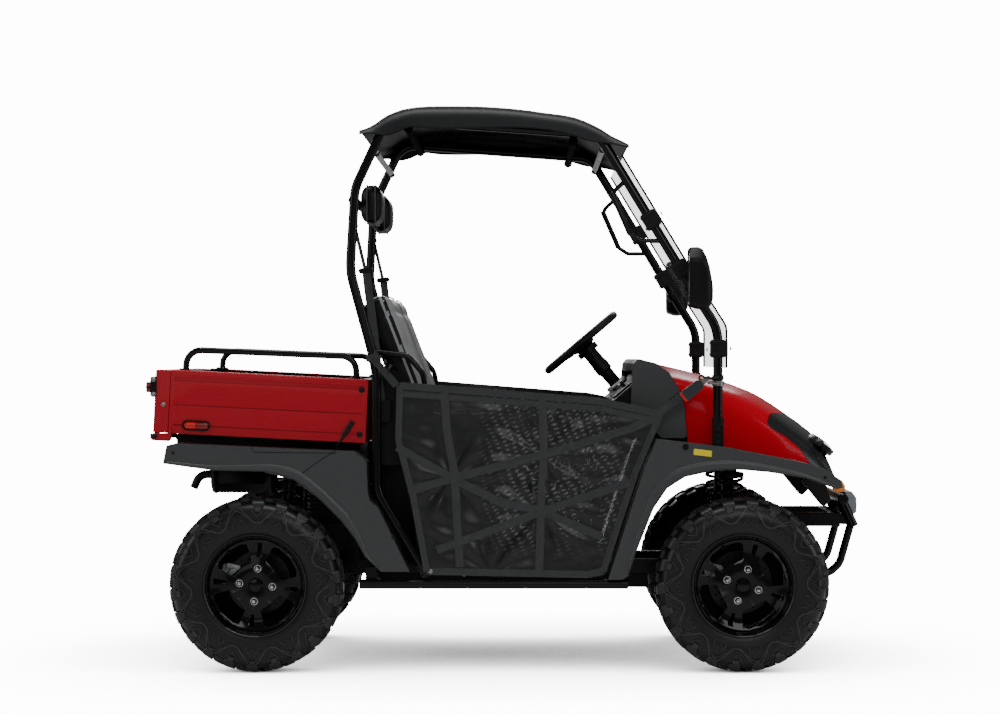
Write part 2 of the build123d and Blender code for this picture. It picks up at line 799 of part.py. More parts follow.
with BuildPart() as nose:
    body_loft(BODY_SECTIONS)
    extrude(inset(nose_region, seat_gap), amount=cut_reach, both=True, mode=Mode.INTERSECT)
    for name, sign in SIDES:
        with BuildSketch(lamp_back(sign, seat_gap)):
            Ellipse(lamp_radii[0] + seat_gap, lamp_radii[1] + seat_gap)
        extrude(amount=lamp_depth + 50, mode=Mode.SUBTRACT)
save(nose, "nose")

with BuildPart() as signal_lamps:
    for name, sign in SIDES:
        block((1098, 1142), span(sign, 404, fender_inner_y - seat_gap), (594, 640))
        block((-1150, -1122), span(sign, 380, fender_inner_y - seat_gap), (700, 752))
save(signal_lamps, "signal_lamps")

# ------------------------------------------------------------------ dash
trim_line = [
    (408, 882),
    (418, 1028),
    (431, 1049),
    (496, 1032),
    (504.5, 1025),
    (539.5, 1000),
    (574.5, 939),
    (591.5, 877),
    (598.2, 779),
    (513, 779),
]
with BuildPart() as dash_trim:
    side_slab(trim_line, (-dash_half_width, dash_half_width))
    side_slab(
        [(300, 700), (300, 999.8), (620, 999.8), (620, 700)],
        (-dash_half_width + dash_panel, dash_half_width - dash_panel),
        mode=Mode.SUBTRACT,
    )
save(dash_trim, "dash_trim")

face_run = 95
face_top = (350 + face_run * math.cos(tilt), 905 + face_run * math.sin(tilt))
with BuildPart() as dash:
    side_slab(
        [(350, 880), (350, 905), face_top, (448, 999.5), (536, 999.5), (570, 938), (586, 870), (592, 779),
            (400, 779)],
        (-dash_half_width + dash_panel + seat_gap, dash_half_width - dash_panel - seat_gap),
    )
save(dash, "dash")

# ------------------------------------------------------------------ seats
with BuildPart() as seat_base:
    base_z = (lower_rail_top + floor_thickness, seat_base_top)
    block((floor_rear, seat_base_front), (-fender_inner_y + 4, fender_inner_y - 4), base_z)
    block((arch_gap_rear, seat_base_front), (-seat_base_half_width, seat_base_half_width), base_z)
save(seat_base, "seat_base")

with BuildPart() as seat_cushions:
    for name, sign in SIDES:
        with Locations(((cushion_rear + cushion_front) / 2, sign * seat_centre_y,
            (seat_base_top + cloth_gap + cushion_top) / 2)):
            Box(cushion_front - cushion_rear, seat_width, cushion_top - seat_base_top - cloth_gap)
    fillet(seat_cushions.edges().filter_by(Axis.Y), 30)
save(seat_cushions, "seat_cushions")

back_foot_z = cushion_top + cloth_gap
with BuildPart() as seat_backs:
    for name, sign in SIDES:
        y = span(sign, seat_centre_y - seat_width / 2, seat_centre_y + seat_width / 2)
        side_slab([(-252, back_foot_z), (-300, 990), (-405, 1260), (-436, 1293), (-485, 1284), (-497, 1245),
            (-343, back_foot_z)], y)
save(seat_backs, "seat_backs")

with BuildPart() as headrests:
    for name, sign in SIDES:
        with Locations((headrest_centre[0], sign * headrest_centre[1], headrest_centre[2])):
            Box(headrest_depth, headrest_width, headrest_height)
    fillet(headrests.edges().filter_by(Axis.Y), 28)
save(headrests, "headrests")

# ------------------------------------------------------------------ roof
roof_top_line = [(-483, 1821), (-456, 1836), (-413, 1873), (-369, 1890), (-323, 1899), (-185, 1905)]
roof_top_line += [(-33, 1899), (105, 1882), (253, 1855), (304, 1826), (346, 1796), (382, 1779), (401, 1754)]
roof_low_line = [(338, 1758), (281, 1769), (221, 1795), (171, 1800), (-98, 1815), (-334, 1820),
    (-403, 1793), (-506, 1794)]
roof_core = [(-484, 1700), (-484, 1812), (-452, 1830), (-409, 1867), (-367, 1884), (-322, 1893),
    (-185, 1899), (-33, 1893)]
roof_core += [(104, 1876), (250, 1849), (301, 1820), (343, 1790), (378, 1774), (390, 1756), (390, 1700)]
with BuildPart() as roof:
    side_slab(roof_top_line + roof_low_line, (-roof_half_width, roof_half_width))
    side_slab(roof_core, (-roof_half_width + roof_skin, roof_half_width - roof_skin), mode=Mode.SUBTRACT)
    for name, sign in SIDES:
        for pad_x in (-230, 150):
            pad_bottom = rail_z(pad_x - 30) + cage_diameter / 2 + 2 * seat_gap
            block((pad_x - 30, pad_x + 30), span(sign, roof_pad_inner, roof_half_width - 1),
                (pad_bottom, roof_pad_top))
save(roof, "roof")

# ------------------------------------------------------------------ windscreen and clamps


def offset_line(points, distance):
    """A polyline moved sideways, towards the front of the vehicle."""
    moved = []
    for index, (x, z) in enumerate(points):
        normals = []
        for first, second in ((index - 1, index), (index, index + 1)):
            if first >= 0 and second < len(points):
                dx = points[second][0] - points[first][0]
                dz = points[second][1] - points[first][1]
                length = math.hypot(dx, dz)
                normals.append((-dz / length, dx / length))
        nx = sum(n[0] for n in normals) / len(normals)
        nz = sum(n[1] for n in normals) / len(normals)
        scale = distance / (nx * nx + nz * nz)
        moved.append((x + nx * scale, z + nz * scale))
    return moved


screen_line = [(351, 1715.6), (636, 1244), (698, 1147), (698, 1016)]
screen_back = offset_line(screen_line, windscreen_offset)
screen_front = offset_line(screen_line, windscreen_offset + windscreen_thickness)
with BuildPart() as windscreen:
    side_slab(screen_back + screen_front[::-1], (-windscreen_half_width, windscreen_half_width))
save(windscreen, "windscreen")

screen_foot = front_post_line[2]
post_slope = Vector(screen_foot[0] - front_corner[0], 0, screen_foot[1] - front_corner[1]).normalized()
CLAMPS = (  # x, z and the post's direction there
    (474, 1512, post_slope),
    (574, 1346.6, post_slope),
    (698, 1081, Vector(0, 0, -1)),
)
clamp_low = -clamp_depth / 2 - 1  # measured forward from the post's centre line
clamp_high = windscreen_offset - seat_gap
with BuildPart() as windscreen_clamps:
    for name, sign in SIDES:
        for clamp_x, clamp_z, along in CLAMPS:
            forward = Vector(-along.Z, 0, along.X)
            centre = Vector(clamp_x, sign * cage_y(clamp_z),
                clamp_z) + forward * (clamp_low + clamp_high) / 2
            with Locations(Plane(origin=centre, x_dir=forward, z_dir=along)):
                Box(clamp_high - clamp_low, clamp_depth, clamp_height)
    for name, sign in SIDES:
        tube(on_cage(sign, front_post_line), cage_diameter + 2 * seat_gap, front_post_bends,
            mode=Mode.SUBTRACT)
save(windscreen_clamps, "windscreen_clamps")

with BuildPart() as mirrors:
    for name, sign in SIDES:
        block((592, 676), span(sign, 612, 740), (1212, 1415))
    fillet(mirrors.edges().filter_by(Axis.Y), 22)
    for name, sign in SIDES:
        rod_y(612, 1284, 7, span(sign, cage_y(1284), 613))
        tube(on_cage(sign, [(592, 1316.8), (612, 1283.7)]), 46)
        tube(on_cage(sign, front_post_line), cage_diameter + 2 * seat_gap, front_post_bends,
            mode=Mode.SUBTRACT)
save(mirrors, "mirrors")

# ------------------------------------------------------------------ side nets
net_line = [(-380, 777), (-374, 965), (300, 915), (515, 868), (437, 677), (385, 520), (323, 330),
    (270, 318), (-283, 330), (-330, 577)]
for name, sign in SIDES:
    with BuildPart() as side_net:
        side_slab(net_line, span(sign, net_y, net_y + net_thickness))
    save(side_net, f"side_net_{name}")

# ------------------------------------------------------------------ bed
rake = math.radians(bed_rake)
bed_plane = Plane(origin=bed_origin, x_dir=(math.cos(rake), 0, -math.sin(rake)), z_dir=(0, -1, 0))


def bed_slab(corners, y, mode=Mode.ADD):
    """Corners in the raked bed's own (forward, up) measures, made solid between two y values."""
    with BuildSketch(bed_plane.offset(-max(y))) as face:
        with BuildLine():
            Polyline(*corners, close=True)
        make_face()
    extrude(face.sketch, amount=max(y) - min(y), mode=mode)


def rectangle(low_u, high_u, low_w, high_w):
    """Four corners of a rectangle in the bed's measures."""
    return [(low_u, low_w), (high_u, low_w), (high_u, high_w), (low_u, high_w)]


def bed_bottom_z(x):
    """Height of the bed's underside at a place along the vehicle."""
    return bed_origin[2] - (x - bed_origin[0]) * math.tan(rake)


def bed_point(u, w):
    """A place in the bed's measures as vehicle (x, z)."""
    x = bed_origin[0] + u * math.cos(rake) + w * math.sin(rake)
    z = bed_origin[2] - u * math.sin(rake) + w * math.cos(rake)
    return x, z


gate_front = gate_thickness + gate_gap
groove_depth = 4
GROOVES = ((176, 190), (94, 98), (26, 31))  # low and high edge of each pressed line on the sides
with BuildPart() as bed_tub:
    bed_slab(rectangle(gate_front, bed_length, 0, bed_height), (-bed_half_width, bed_half_width))
    inner = bed_half_width - bed_wall
    bed_slab(rectangle(gate_front - 1, bed_length - bed_wall, bed_floor, bed_height + 1), (-inner, inner),
        mode=Mode.SUBTRACT)
    for name, sign in SIDES:
        for low_edge, high_edge in GROOVES:
            bed_slab(
                rectangle(gate_front + 14, bed_length - 14, low_edge, high_edge),
                span(sign, bed_half_width - groove_depth, bed_half_width + 1),
                mode=Mode.SUBTRACT,
            )
        rest_z = upper_rail_top + seat_gap
        runner_rear = bed_origin[0] + gate_front + 2
        side_slab(
            [
                (runner_rear, bed_bottom_z(runner_rear) + 2),
                (runner_rear, pivot_z - 8),
                (pivot_x - 10, pivot_z - 20),
                (pivot_x + 5, rest_z),
                (upper_rail_front, rest_z),
                (upper_rail_front, bed_bottom_z(upper_rail_front) + 2),
            ],
            span(sign, rail_in, rail_out),
        )
        rod_y(pivot_x, pivot_z, pivot_radius + running_gap, span(sign, rail_in - 1, rail_out + 1),
            mode=Mode.SUBTRACT)
        ear_in = hinge_y - hinge_lug_half - hinge_play
        ear_out = hinge_y + hinge_lug_half + hinge_play
        ear_line = [(-8, -8), (-8, 5), (51, 5), (51, 10), (66, 9), (66, -8)]  # from the hinge pin
        for ear_y in ((ear_in - hinge_ear, ear_in), (ear_out, ear_out + hinge_ear)):
            side_slab([(hinge_x + dx, hinge_z + dz) for dx, dz in ear_line], span(sign, *ear_y))
        rod_y(hinge_x, hinge_z, hinge_pin_radius, span(sign, ear_in - hinge_ear, ear_out + hinge_ear))
save(bed_tub, "bed_tub")

with BuildPart() as tailgate:
    gate_outline = rectangle(0, gate_thickness, 0.5, bed_height)
    bed_slab(gate_outline, (-bed_half_width, bed_half_width))
    bed_slab(
        rectangle(gate_skin, gate_thickness + 1, 20, bed_height - 20),
        (-bed_half_width + 20, bed_half_width - 20),
        mode=Mode.SUBTRACT,
    )
    for name, sign in SIDES:
        lug_y = span(sign, hinge_y - hinge_lug_half, hinge_y + hinge_lug_half)
        block((hinge_x - 6, hinge_x + 10), lug_y, (hinge_z, hinge_z + 13))
        rod_y(hinge_x, hinge_z, 10, lug_y)
        rod_y(hinge_x, hinge_z, hinge_pin_radius + running_gap, span(sign, ear_in, ear_out),
            mode=Mode.SUBTRACT)
        block((-half_length + 15, bed_origin[0] + 9), span(sign, latch_y - 16, latch_y + 16), (925, 985))
        with Locations(Plane(origin=(-half_length + 9.5, sign * latch_y, 952), z_dir=(1, 0, 0))):
            Cylinder(17, 19)
save(tailgate, "tailgate")

rail_rear_u = 96
rail_front_u = bed_length - 41
rail_rear_top = bed_point(rail_rear_u, bed_height)
rail_front_top = bed_point(rail_front_u, bed_height)
with BuildPart() as bed_rails:
    for name, sign in SIDES:
        y = sign * bed_rail_y
        rear_x, rear_z = rail_rear_top
        front_x, front_z = rail_front_top
        rail = [
            (rear_x, y, rear_z + 1.2),
            (rear_x + 4, y, rear_z + 72),
            (front_x - 4, y, front_z + 78),
            (front_x, y, front_z + 1.2),
        ]
        tube(rail, bed_rail_diameter, [50, 50])
        for foot_u in (rail_rear_u, rail_front_u):
            foot_x, foot_z = bed_point(foot_u, bed_height + 2.3)
            with Locations(Plane(origin=(foot_x, y, foot_z), z_dir=(math.sin(rake), 0, math.cos(rake)))):
                Box(46, 40, 4)
save(bed_rails, "bed_rails")

with BuildPart() as side_lamps:
    for name, sign in SIDES:
        lamp_x, lamp_z = bed_point(144, 30)
        lamp_face = Plane(origin=(lamp_x, sign * (bed_half_width + seat_gap), lamp_z),
            x_dir=bed_plane.x_dir, z_dir=(0, sign, 0))
        with BuildSketch(lamp_face):
            SlotOverall(94, 34)
        extrude(amount=9)
save(side_lamps, "side_lamps")
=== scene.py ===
# %% [markdown]
# # A side by side utility vehicle, dressed for its portrait
#
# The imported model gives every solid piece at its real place. This lesson adds what a maker's drawing leaves
# out: moulded grain, rounded edges, tread, stitched seats, netting and lamps. Lengths are written in
# millimetres and turned into metres by one helper, because a tape measure reads in millimetres.

import math

import bmesh
import bpy
import numpy as np
from mathutils import Matrix, Vector
from mathutils.kdtree import KDTree
from mathutils.noise import noise as wander_at


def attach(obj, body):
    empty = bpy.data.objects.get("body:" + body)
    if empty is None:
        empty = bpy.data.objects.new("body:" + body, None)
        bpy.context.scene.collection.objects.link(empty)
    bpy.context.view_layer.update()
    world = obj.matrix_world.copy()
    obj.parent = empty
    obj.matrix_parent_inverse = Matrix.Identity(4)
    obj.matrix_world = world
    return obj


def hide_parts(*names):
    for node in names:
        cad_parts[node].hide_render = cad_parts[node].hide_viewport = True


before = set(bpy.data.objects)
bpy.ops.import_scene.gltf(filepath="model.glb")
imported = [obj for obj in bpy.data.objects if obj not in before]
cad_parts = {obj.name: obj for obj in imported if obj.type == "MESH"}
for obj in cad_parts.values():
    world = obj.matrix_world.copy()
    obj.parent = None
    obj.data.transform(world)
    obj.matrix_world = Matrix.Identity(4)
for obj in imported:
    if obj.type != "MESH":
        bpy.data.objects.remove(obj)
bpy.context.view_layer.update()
SIGNS = (1, -1)
SIDES = ((1, "left"), (-1, "right"))


def mm(*values):
    """Millimetres to metres: one number stays a number, three become a vector."""
    if len(values) == 1:
        return values[0] / 1000
    return Vector([value / 1000 for value in values])


def show(name, data):
    """A new object in the scene that holds the given data."""
    made = bpy.data.objects.new(name, data)
    bpy.context.scene.collection.objects.link(made)
    return made

# %% [markdown]
# The camera stands nine metres to the right of the vehicle with a long lens, as for a catalogue page, so
# near and far wheels look almost the same size. It is made first, before any piece.

# %% Camera
camera_data = bpy.data.cameras.new("portrait")
camera_data.sensor_width = 36
camera_data.lens = 94.9
camera_data.shift_x = -0.025
camera = show("portrait", camera_data)
camera.location = mm(53, -9385, 1053)
camera.rotation_euler = (math.radians(90), 0, 0)
bpy.context.scene.camera = camera
print("camera at", tuple(camera.location))

# %% [markdown]
# A studio is mostly large soft lamps. One broad lamp above gives the roof, hood and tyre tops their long
# highlights, one near the camera opens up the near side, one behind opens up the far side, and two narrow
# strips at the ends draw bright lines along the tubes.

# %% Lamps
LAMPS = (  # name, place, point that it faces, width, depth, power
    ("top", (0, -700, 4600), (0, 0, 700), 3600, 1500, 150),
    ("key", (1500, -6500, 3800), (100, 0, 700), 3600, 1800, 95),
    ("low", (-2500, -7000, 1500), (-200, 0, 500), 2600, 1400, 12),
    ("rear_strip", (-5200, -1500, 2400), (-300, 0, 800), 800, 3200, 55),
    ("front_strip", (5200, -1500, 2400), (300, 0, 800), 800, 3200, 55),
    ("far", (0, 5200, 3200), (0, 0, 900), 4000, 1600, 110),
)
for lamp_name, place, aim, width, depth, power in LAMPS:
    lamp_data = bpy.data.lights.new(lamp_name, "AREA")
    lamp_data.shape = "RECTANGLE"
    lamp_data.size, lamp_data.size_y = mm(width), mm(depth)
    lamp_data.energy = power
    lamp = show(lamp_name, lamp_data)
    lamp.location = mm(*place)
    lamp.rotation_euler = (mm(*aim) - mm(*place)).to_track_quat("-Z", "Y").to_euler()
print("lamps:", len(LAMPS))

# %% [markdown]
# ## Node helpers
#
# Every finish is a small graph of nodes. One helper adds a node with its settings and inputs in one go, so the
# graphs below read like formulas.

# %% Node helpers
def add_node(tree, kind, inputs=None, **settings):
    """A node with plain settings by name; each input is a value or a socket to link."""
    made = tree.nodes.new("ShaderNode" + kind if not kind.startswith("NodeGroup") else kind)
    for key, value in settings.items():
        setattr(made, key, value)
    for key, value in (inputs or {}).items():
        if isinstance(value, bpy.types.NodeSocket):
            tree.links.new(value, made.inputs[key])
        else:
            made.inputs[key].default_value = value
    return made


def maths(tree, operation, first, second):
    """A Math node on sockets or numbers, which gives its output socket."""
    return add_node(tree, "Math", {0: first, 1: second}, operation=operation).outputs[0]


def ramp(tree, value, low, high, start=0.0, stop=1.0):
    """A value's range stretched to another range, held at both ends."""
    ends = {"Value": value, "From Min": low, "From Max": high, "To Min": start, "To Max": stop}
    return add_node(tree, "MapRange", ends).outputs[0]


def blend(tree, share, first, second):
    """A mix of two colours by a share."""
    return add_node(tree, "Mix", {"Factor": share, "A": first, "B": second}, data_type="RGBA").outputs["Result"]


def place_on_piece(tree):
    """Coordinates in metres that stay with the piece."""
    return add_node(tree, "TexCoord").outputs["Object"]


def texture(tree, kind, inputs, **settings):
    """A texture fixed to the piece."""
    return add_node(tree, "Tex" + kind, {"Vector": place_on_piece(tree)} | inputs, **settings)


def new_group(name, inputs, outputs):
    """An empty node group: rows of (socket name, kind, default) in, rows of (name, kind) out."""
    tree = bpy.data.node_groups.new(name, "ShaderNodeTree")
    for label, kind, default in inputs:
        socket = tree.interface.new_socket(label, in_out="INPUT", socket_type=f"NodeSocket{kind}")
        socket.default_value = default
    for label, kind in outputs:
        tree.interface.new_socket(label, in_out="OUTPUT", socket_type=f"NodeSocket{kind}")
    return tree, add_node(tree, "NodeGroupInput").outputs, add_node(tree, "NodeGroupOutput").inputs

# %% [markdown]
# The backdrop is pure white for the camera alone. The vehicle itself is lit by a much weaker sky, so white
# surroundings don't wash out its blacks. White seen through net or clear sheet is toned down, as the eye
# would see it through the mesh.

# %% Backdrop
BACKDROP = 14.0
BACKDROP_THROUGH_NET = 2.6
world = bpy.data.worlds.new("studio")
world.use_nodes = True
sky = world.node_tree
soft_fill = sky.nodes["Background"]
soft_fill.inputs["Color"].default_value = (1, 1, 1, 1)
soft_fill.inputs["Strength"].default_value = 0.17
seen = add_node(sky, "LightPath").outputs
wall_strength = ramp(sky, seen["Transparent Depth"], 0.0, 1.0, BACKDROP, BACKDROP_THROUGH_NET)
white_wall = add_node(sky, "Background", {"Color": (1, 1, 1, 1), "Strength": wall_strength})
choice = add_node(sky, "MixShader", {0: seen["Is Camera Ray"], 1: soft_fill.outputs[0], 2: white_wall.outputs[0]})
sky.links.new(choice.outputs[0], sky.nodes["World Output"].inputs["Surface"])
bpy.context.scene.world = world
print("backdrop:", BACKDROP)

# %% [markdown]
# ## Effects that many finishes share
#
# Grain, tone, scuffs, dust and weave are built once as node groups with named sockets. Each finish then
# places the groups it needs with its own values, so a change to the grain reaches every moulded panel.
# The groups put out colours, masks and heights only; the shader itself stays in the material.
#
# Moulded plastic and vinyl carry a leather-like grain: small cells with soft valleys. Cells from a Voronoi
# texture, roughened by fine noise, give that at any scale.

# %% Grain group
grain_group, given, out = new_group(
    "moulded_grain",
    [("Cells", "Float", 600.0), ("Softness", "Float", 0.5)],
    [("Height", "Float"), ("Pits", "Float")],
)
look = {"Scale": given["Cells"], "Smoothness": given["Softness"]}
cells = texture(grain_group, "Voronoi", look, feature="SMOOTH_F1").outputs["Distance"]
noise = texture(grain_group, "Noise", {"Detail": 3, "Scale": maths(grain_group, "MULTIPLY", given["Cells"], 1.7)})
raised = maths(grain_group, "SUBTRACT", 1.0, cells)
roughened = maths(grain_group, "MULTIPLY", noise.outputs["Fac"], 0.35)
grain_group.links.new(maths(grain_group, "ADD", raised, roughened), out["Height"])
grain_group.links.new(cells, out["Pits"])
print("group:", grain_group.name)

# %% [markdown]
# No real surface is one flat colour. This group lightens and darkens a colour a little in slow drifts, and
# adds a film of pale dust that gathers low down and in the noise's hollows.

# %% Tone and dust group
DUST_COLOR = (0.32, 0.29, 0.25, 1)
tone_group, given, out = new_group(
    "tone_and_dust",
    [
        ("Color", "Color", (0.5, 0.5, 0.5, 1)),
        ("Drift", "Float", 0.1),
        ("Scale", "Float", 4.0),
        ("Dust", "Float", 0.05),
        ("Dust Top", "Float", 0.6),
    ],
    [("Color", "Color"), ("Dust Mask", "Float")],
)
drift = texture(tone_group, "Noise", {"Detail": 4, "Scale": given["Scale"]})
swing = maths(tone_group, "MULTIPLY", maths(tone_group, "SUBTRACT", drift.outputs["Fac"], 0.5), 2.0)
gain = maths(tone_group, "ADD", 1.0, maths(tone_group, "MULTIPLY", swing, given["Drift"]))
scaled = add_node(tone_group, "VectorMath", {0: given["Color"], "Scale": gain}, operation="SCALE")
height = add_node(tone_group, "SeparateXYZ", {0: place_on_piece(tone_group)})
fade = ramp(tone_group, height.outputs["Z"], given["Dust Top"], 0.0)
speck = texture(tone_group, "Noise", {"Scale": 90, "Detail": 6})
film = maths(tone_group, "MULTIPLY", maths(tone_group, "MULTIPLY", fade, speck.outputs["Fac"]), given["Dust"])
tone_group.links.new(blend(tone_group, film, scaled.outputs[0], DUST_COLOR), out["Color"])
tone_group.links.new(film, out["Dust Mask"])
print("group:", tone_group.name)

# %% [markdown]
# Handling leaves faint scuffs, which show as changes in gloss. Noise stretched along one direction gives
# short streaks, so the roughness wanders around its middle value.

# %% Scuff group
scuff_group, given, out = new_group(
    "scuffs",
    [("Roughness", "Float", 0.4), ("Amount", "Float", 0.08), ("Scale", "Float", 30.0)],
    [("Roughness", "Float")],
)
stretch = add_node(scuff_group, "Mapping", {"Vector": place_on_piece(scuff_group), "Scale": (0.25, 1.0, 1.6)})
look = {"Vector": stretch.outputs[0], "Scale": given["Scale"], "Detail": 8, "Roughness": 0.65}
streaks = add_node(scuff_group, "TexNoise", look)
swing = maths(scuff_group, "SUBTRACT", streaks.outputs["Fac"], 0.5)
spread = maths(scuff_group, "MULTIPLY", maths(scuff_group, "MULTIPLY", swing, 2.0), given["Amount"])
scuff_group.links.new(maths(scuff_group, "ADD", given["Roughness"], spread), out["Roughness"])
print("group:", scuff_group.name)

# %% [markdown]
# Webbing, netting and lamp lenses are ruled in two directions. Two sets of waves at right angles give
# threads; where both are low there is a hole. The net uses the hole mask as transparency, the others only the
# height. A slow noise pulls the threads a little out of line.

# %% Weave group
weave_group, given, out = new_group(
    "weave",
    [("Threads", "Float", 400.0), ("Hole", "Float", 0.35)],
    [("Height", "Float"), ("Cover", "Float")],
)
pull = texture(weave_group, "Noise", {"Scale": 7, "Detail": 1}).outputs["Color"]
strain = {0: pull, 1: (0.016, 0, 0.016), 2: place_on_piece(weave_group)}
pulled = add_node(weave_group, "VectorMath", strain, operation="MULTIPLY_ADD").outputs[0]
look = {"Vector": pulled, "Scale": given["Threads"], "Distortion": 0, "Detail": 0}
bands = [add_node(weave_group, "TexWave", look, bands_direction=axis).outputs["Fac"] for axis in ("X", "Z")]
tallest = maths(weave_group, "MAXIMUM", *bands)
weave_group.links.new(tallest, out["Height"])
weave_group.links.new(maths(weave_group, "GREATER_THAN", tallest, given["Hole"]), out["Cover"])
print("group:", weave_group.name)

# %% [markdown]
# ## Finishes
#
# One maker builds every finish: colour goes through tone and dust, roughness through scuffs, and grain or
# weave through a Bump node. What is the same all over, such as metal or clear coat, is set on the shader.

# %% Finish maker
def finish(
    name,
    color,
    rough,
    metal=0.0,
    coat=0.0,
    drift=0.08,
    drift_scale=4.0,
    scuff=0.06,
    grain=None,
    bump=0.15,
    weave=None,
    dust=0.04,
    glow=None,
    gloss=0.16,
):
    """A procedural material. grain is (cells, softness) and weave is (threads, hole or None)."""
    made = bpy.data.materials.new(name)
    made.use_nodes = True
    made.diffuse_color = (*color, 1)
    tree = made.node_tree
    shader = tree.nodes["Principled BSDF"]
    plain = {"Metallic": metal, "Coat Weight": coat, "Coat Roughness": 0.04, "Specular IOR Level": gloss}
    for socket, value in plain.items():
        shader.inputs[socket].default_value = value
    look = {"Color": (*color, 1), "Drift": drift, "Scale": drift_scale, "Dust": dust}
    tone = add_node(tree, "Group", look, node_tree=tone_group)
    tree.links.new(tone.outputs["Color"], shader.inputs["Base Color"])
    scuffs = add_node(tree, "Group", {"Roughness": rough, "Amount": scuff}, node_tree=scuff_group)
    tree.links.new(scuffs.outputs["Roughness"], shader.inputs["Roughness"])
    if grain or weave:
        first, second = grain or weave
        effect = grain_group if grain else weave_group
        relief = add_node(tree, "Group", {0: first, 1: second or 0}, node_tree=effect)
        look = {"Strength": bump, "Distance": mm(0.6), "Height": relief.outputs["Height"]}
        tree.links.new(add_node(tree, "Bump", look).outputs[0], shader.inputs["Normal"])
        if weave and weave[1]:
            tree.links.new(relief.outputs["Cover"], shader.inputs["Alpha"])
    if glow:
        shader.inputs["Emission Color"].default_value = (*color, 1)
        shader.inputs["Emission Strength"].default_value = glow
    return made


def recolor(made, share, color):
    """Lead a finish's base colour towards another colour by a share."""
    tree = made.node_tree
    base = tree.nodes["Principled BSDF"].inputs["Base Color"]
    tree.links.new(blend(tree, share, base.links[0].from_socket, (*color, 1)), base)


def paint_edge_highlights(made, color, low, high):
    """Painted highlight: a lighter base colour on raised edges, where light would catch them."""
    form = add_node(made.node_tree, "NewGeometry")
    recolor(made, ramp(made.node_tree, form.outputs["Pointiness"], low, high), color)


def clear(name, color, rough, alpha):
    """Clear sheet: tinted, smooth, and faintly wiped."""
    made = finish(name, color, rough, drift=0.03, scuff=0.03, dust=0.0)
    made.node_tree.nodes["Principled BSDF"].inputs["IOR"].default_value = 1.45
    made.node_tree.nodes["Principled BSDF"].inputs["Alpha"].default_value = alpha
    return made

# %% [markdown]
# The list of finishes follows the vehicle from the ground up. Dark plastics differ by their grain and gloss
# more than by their colour, so each gets its own.

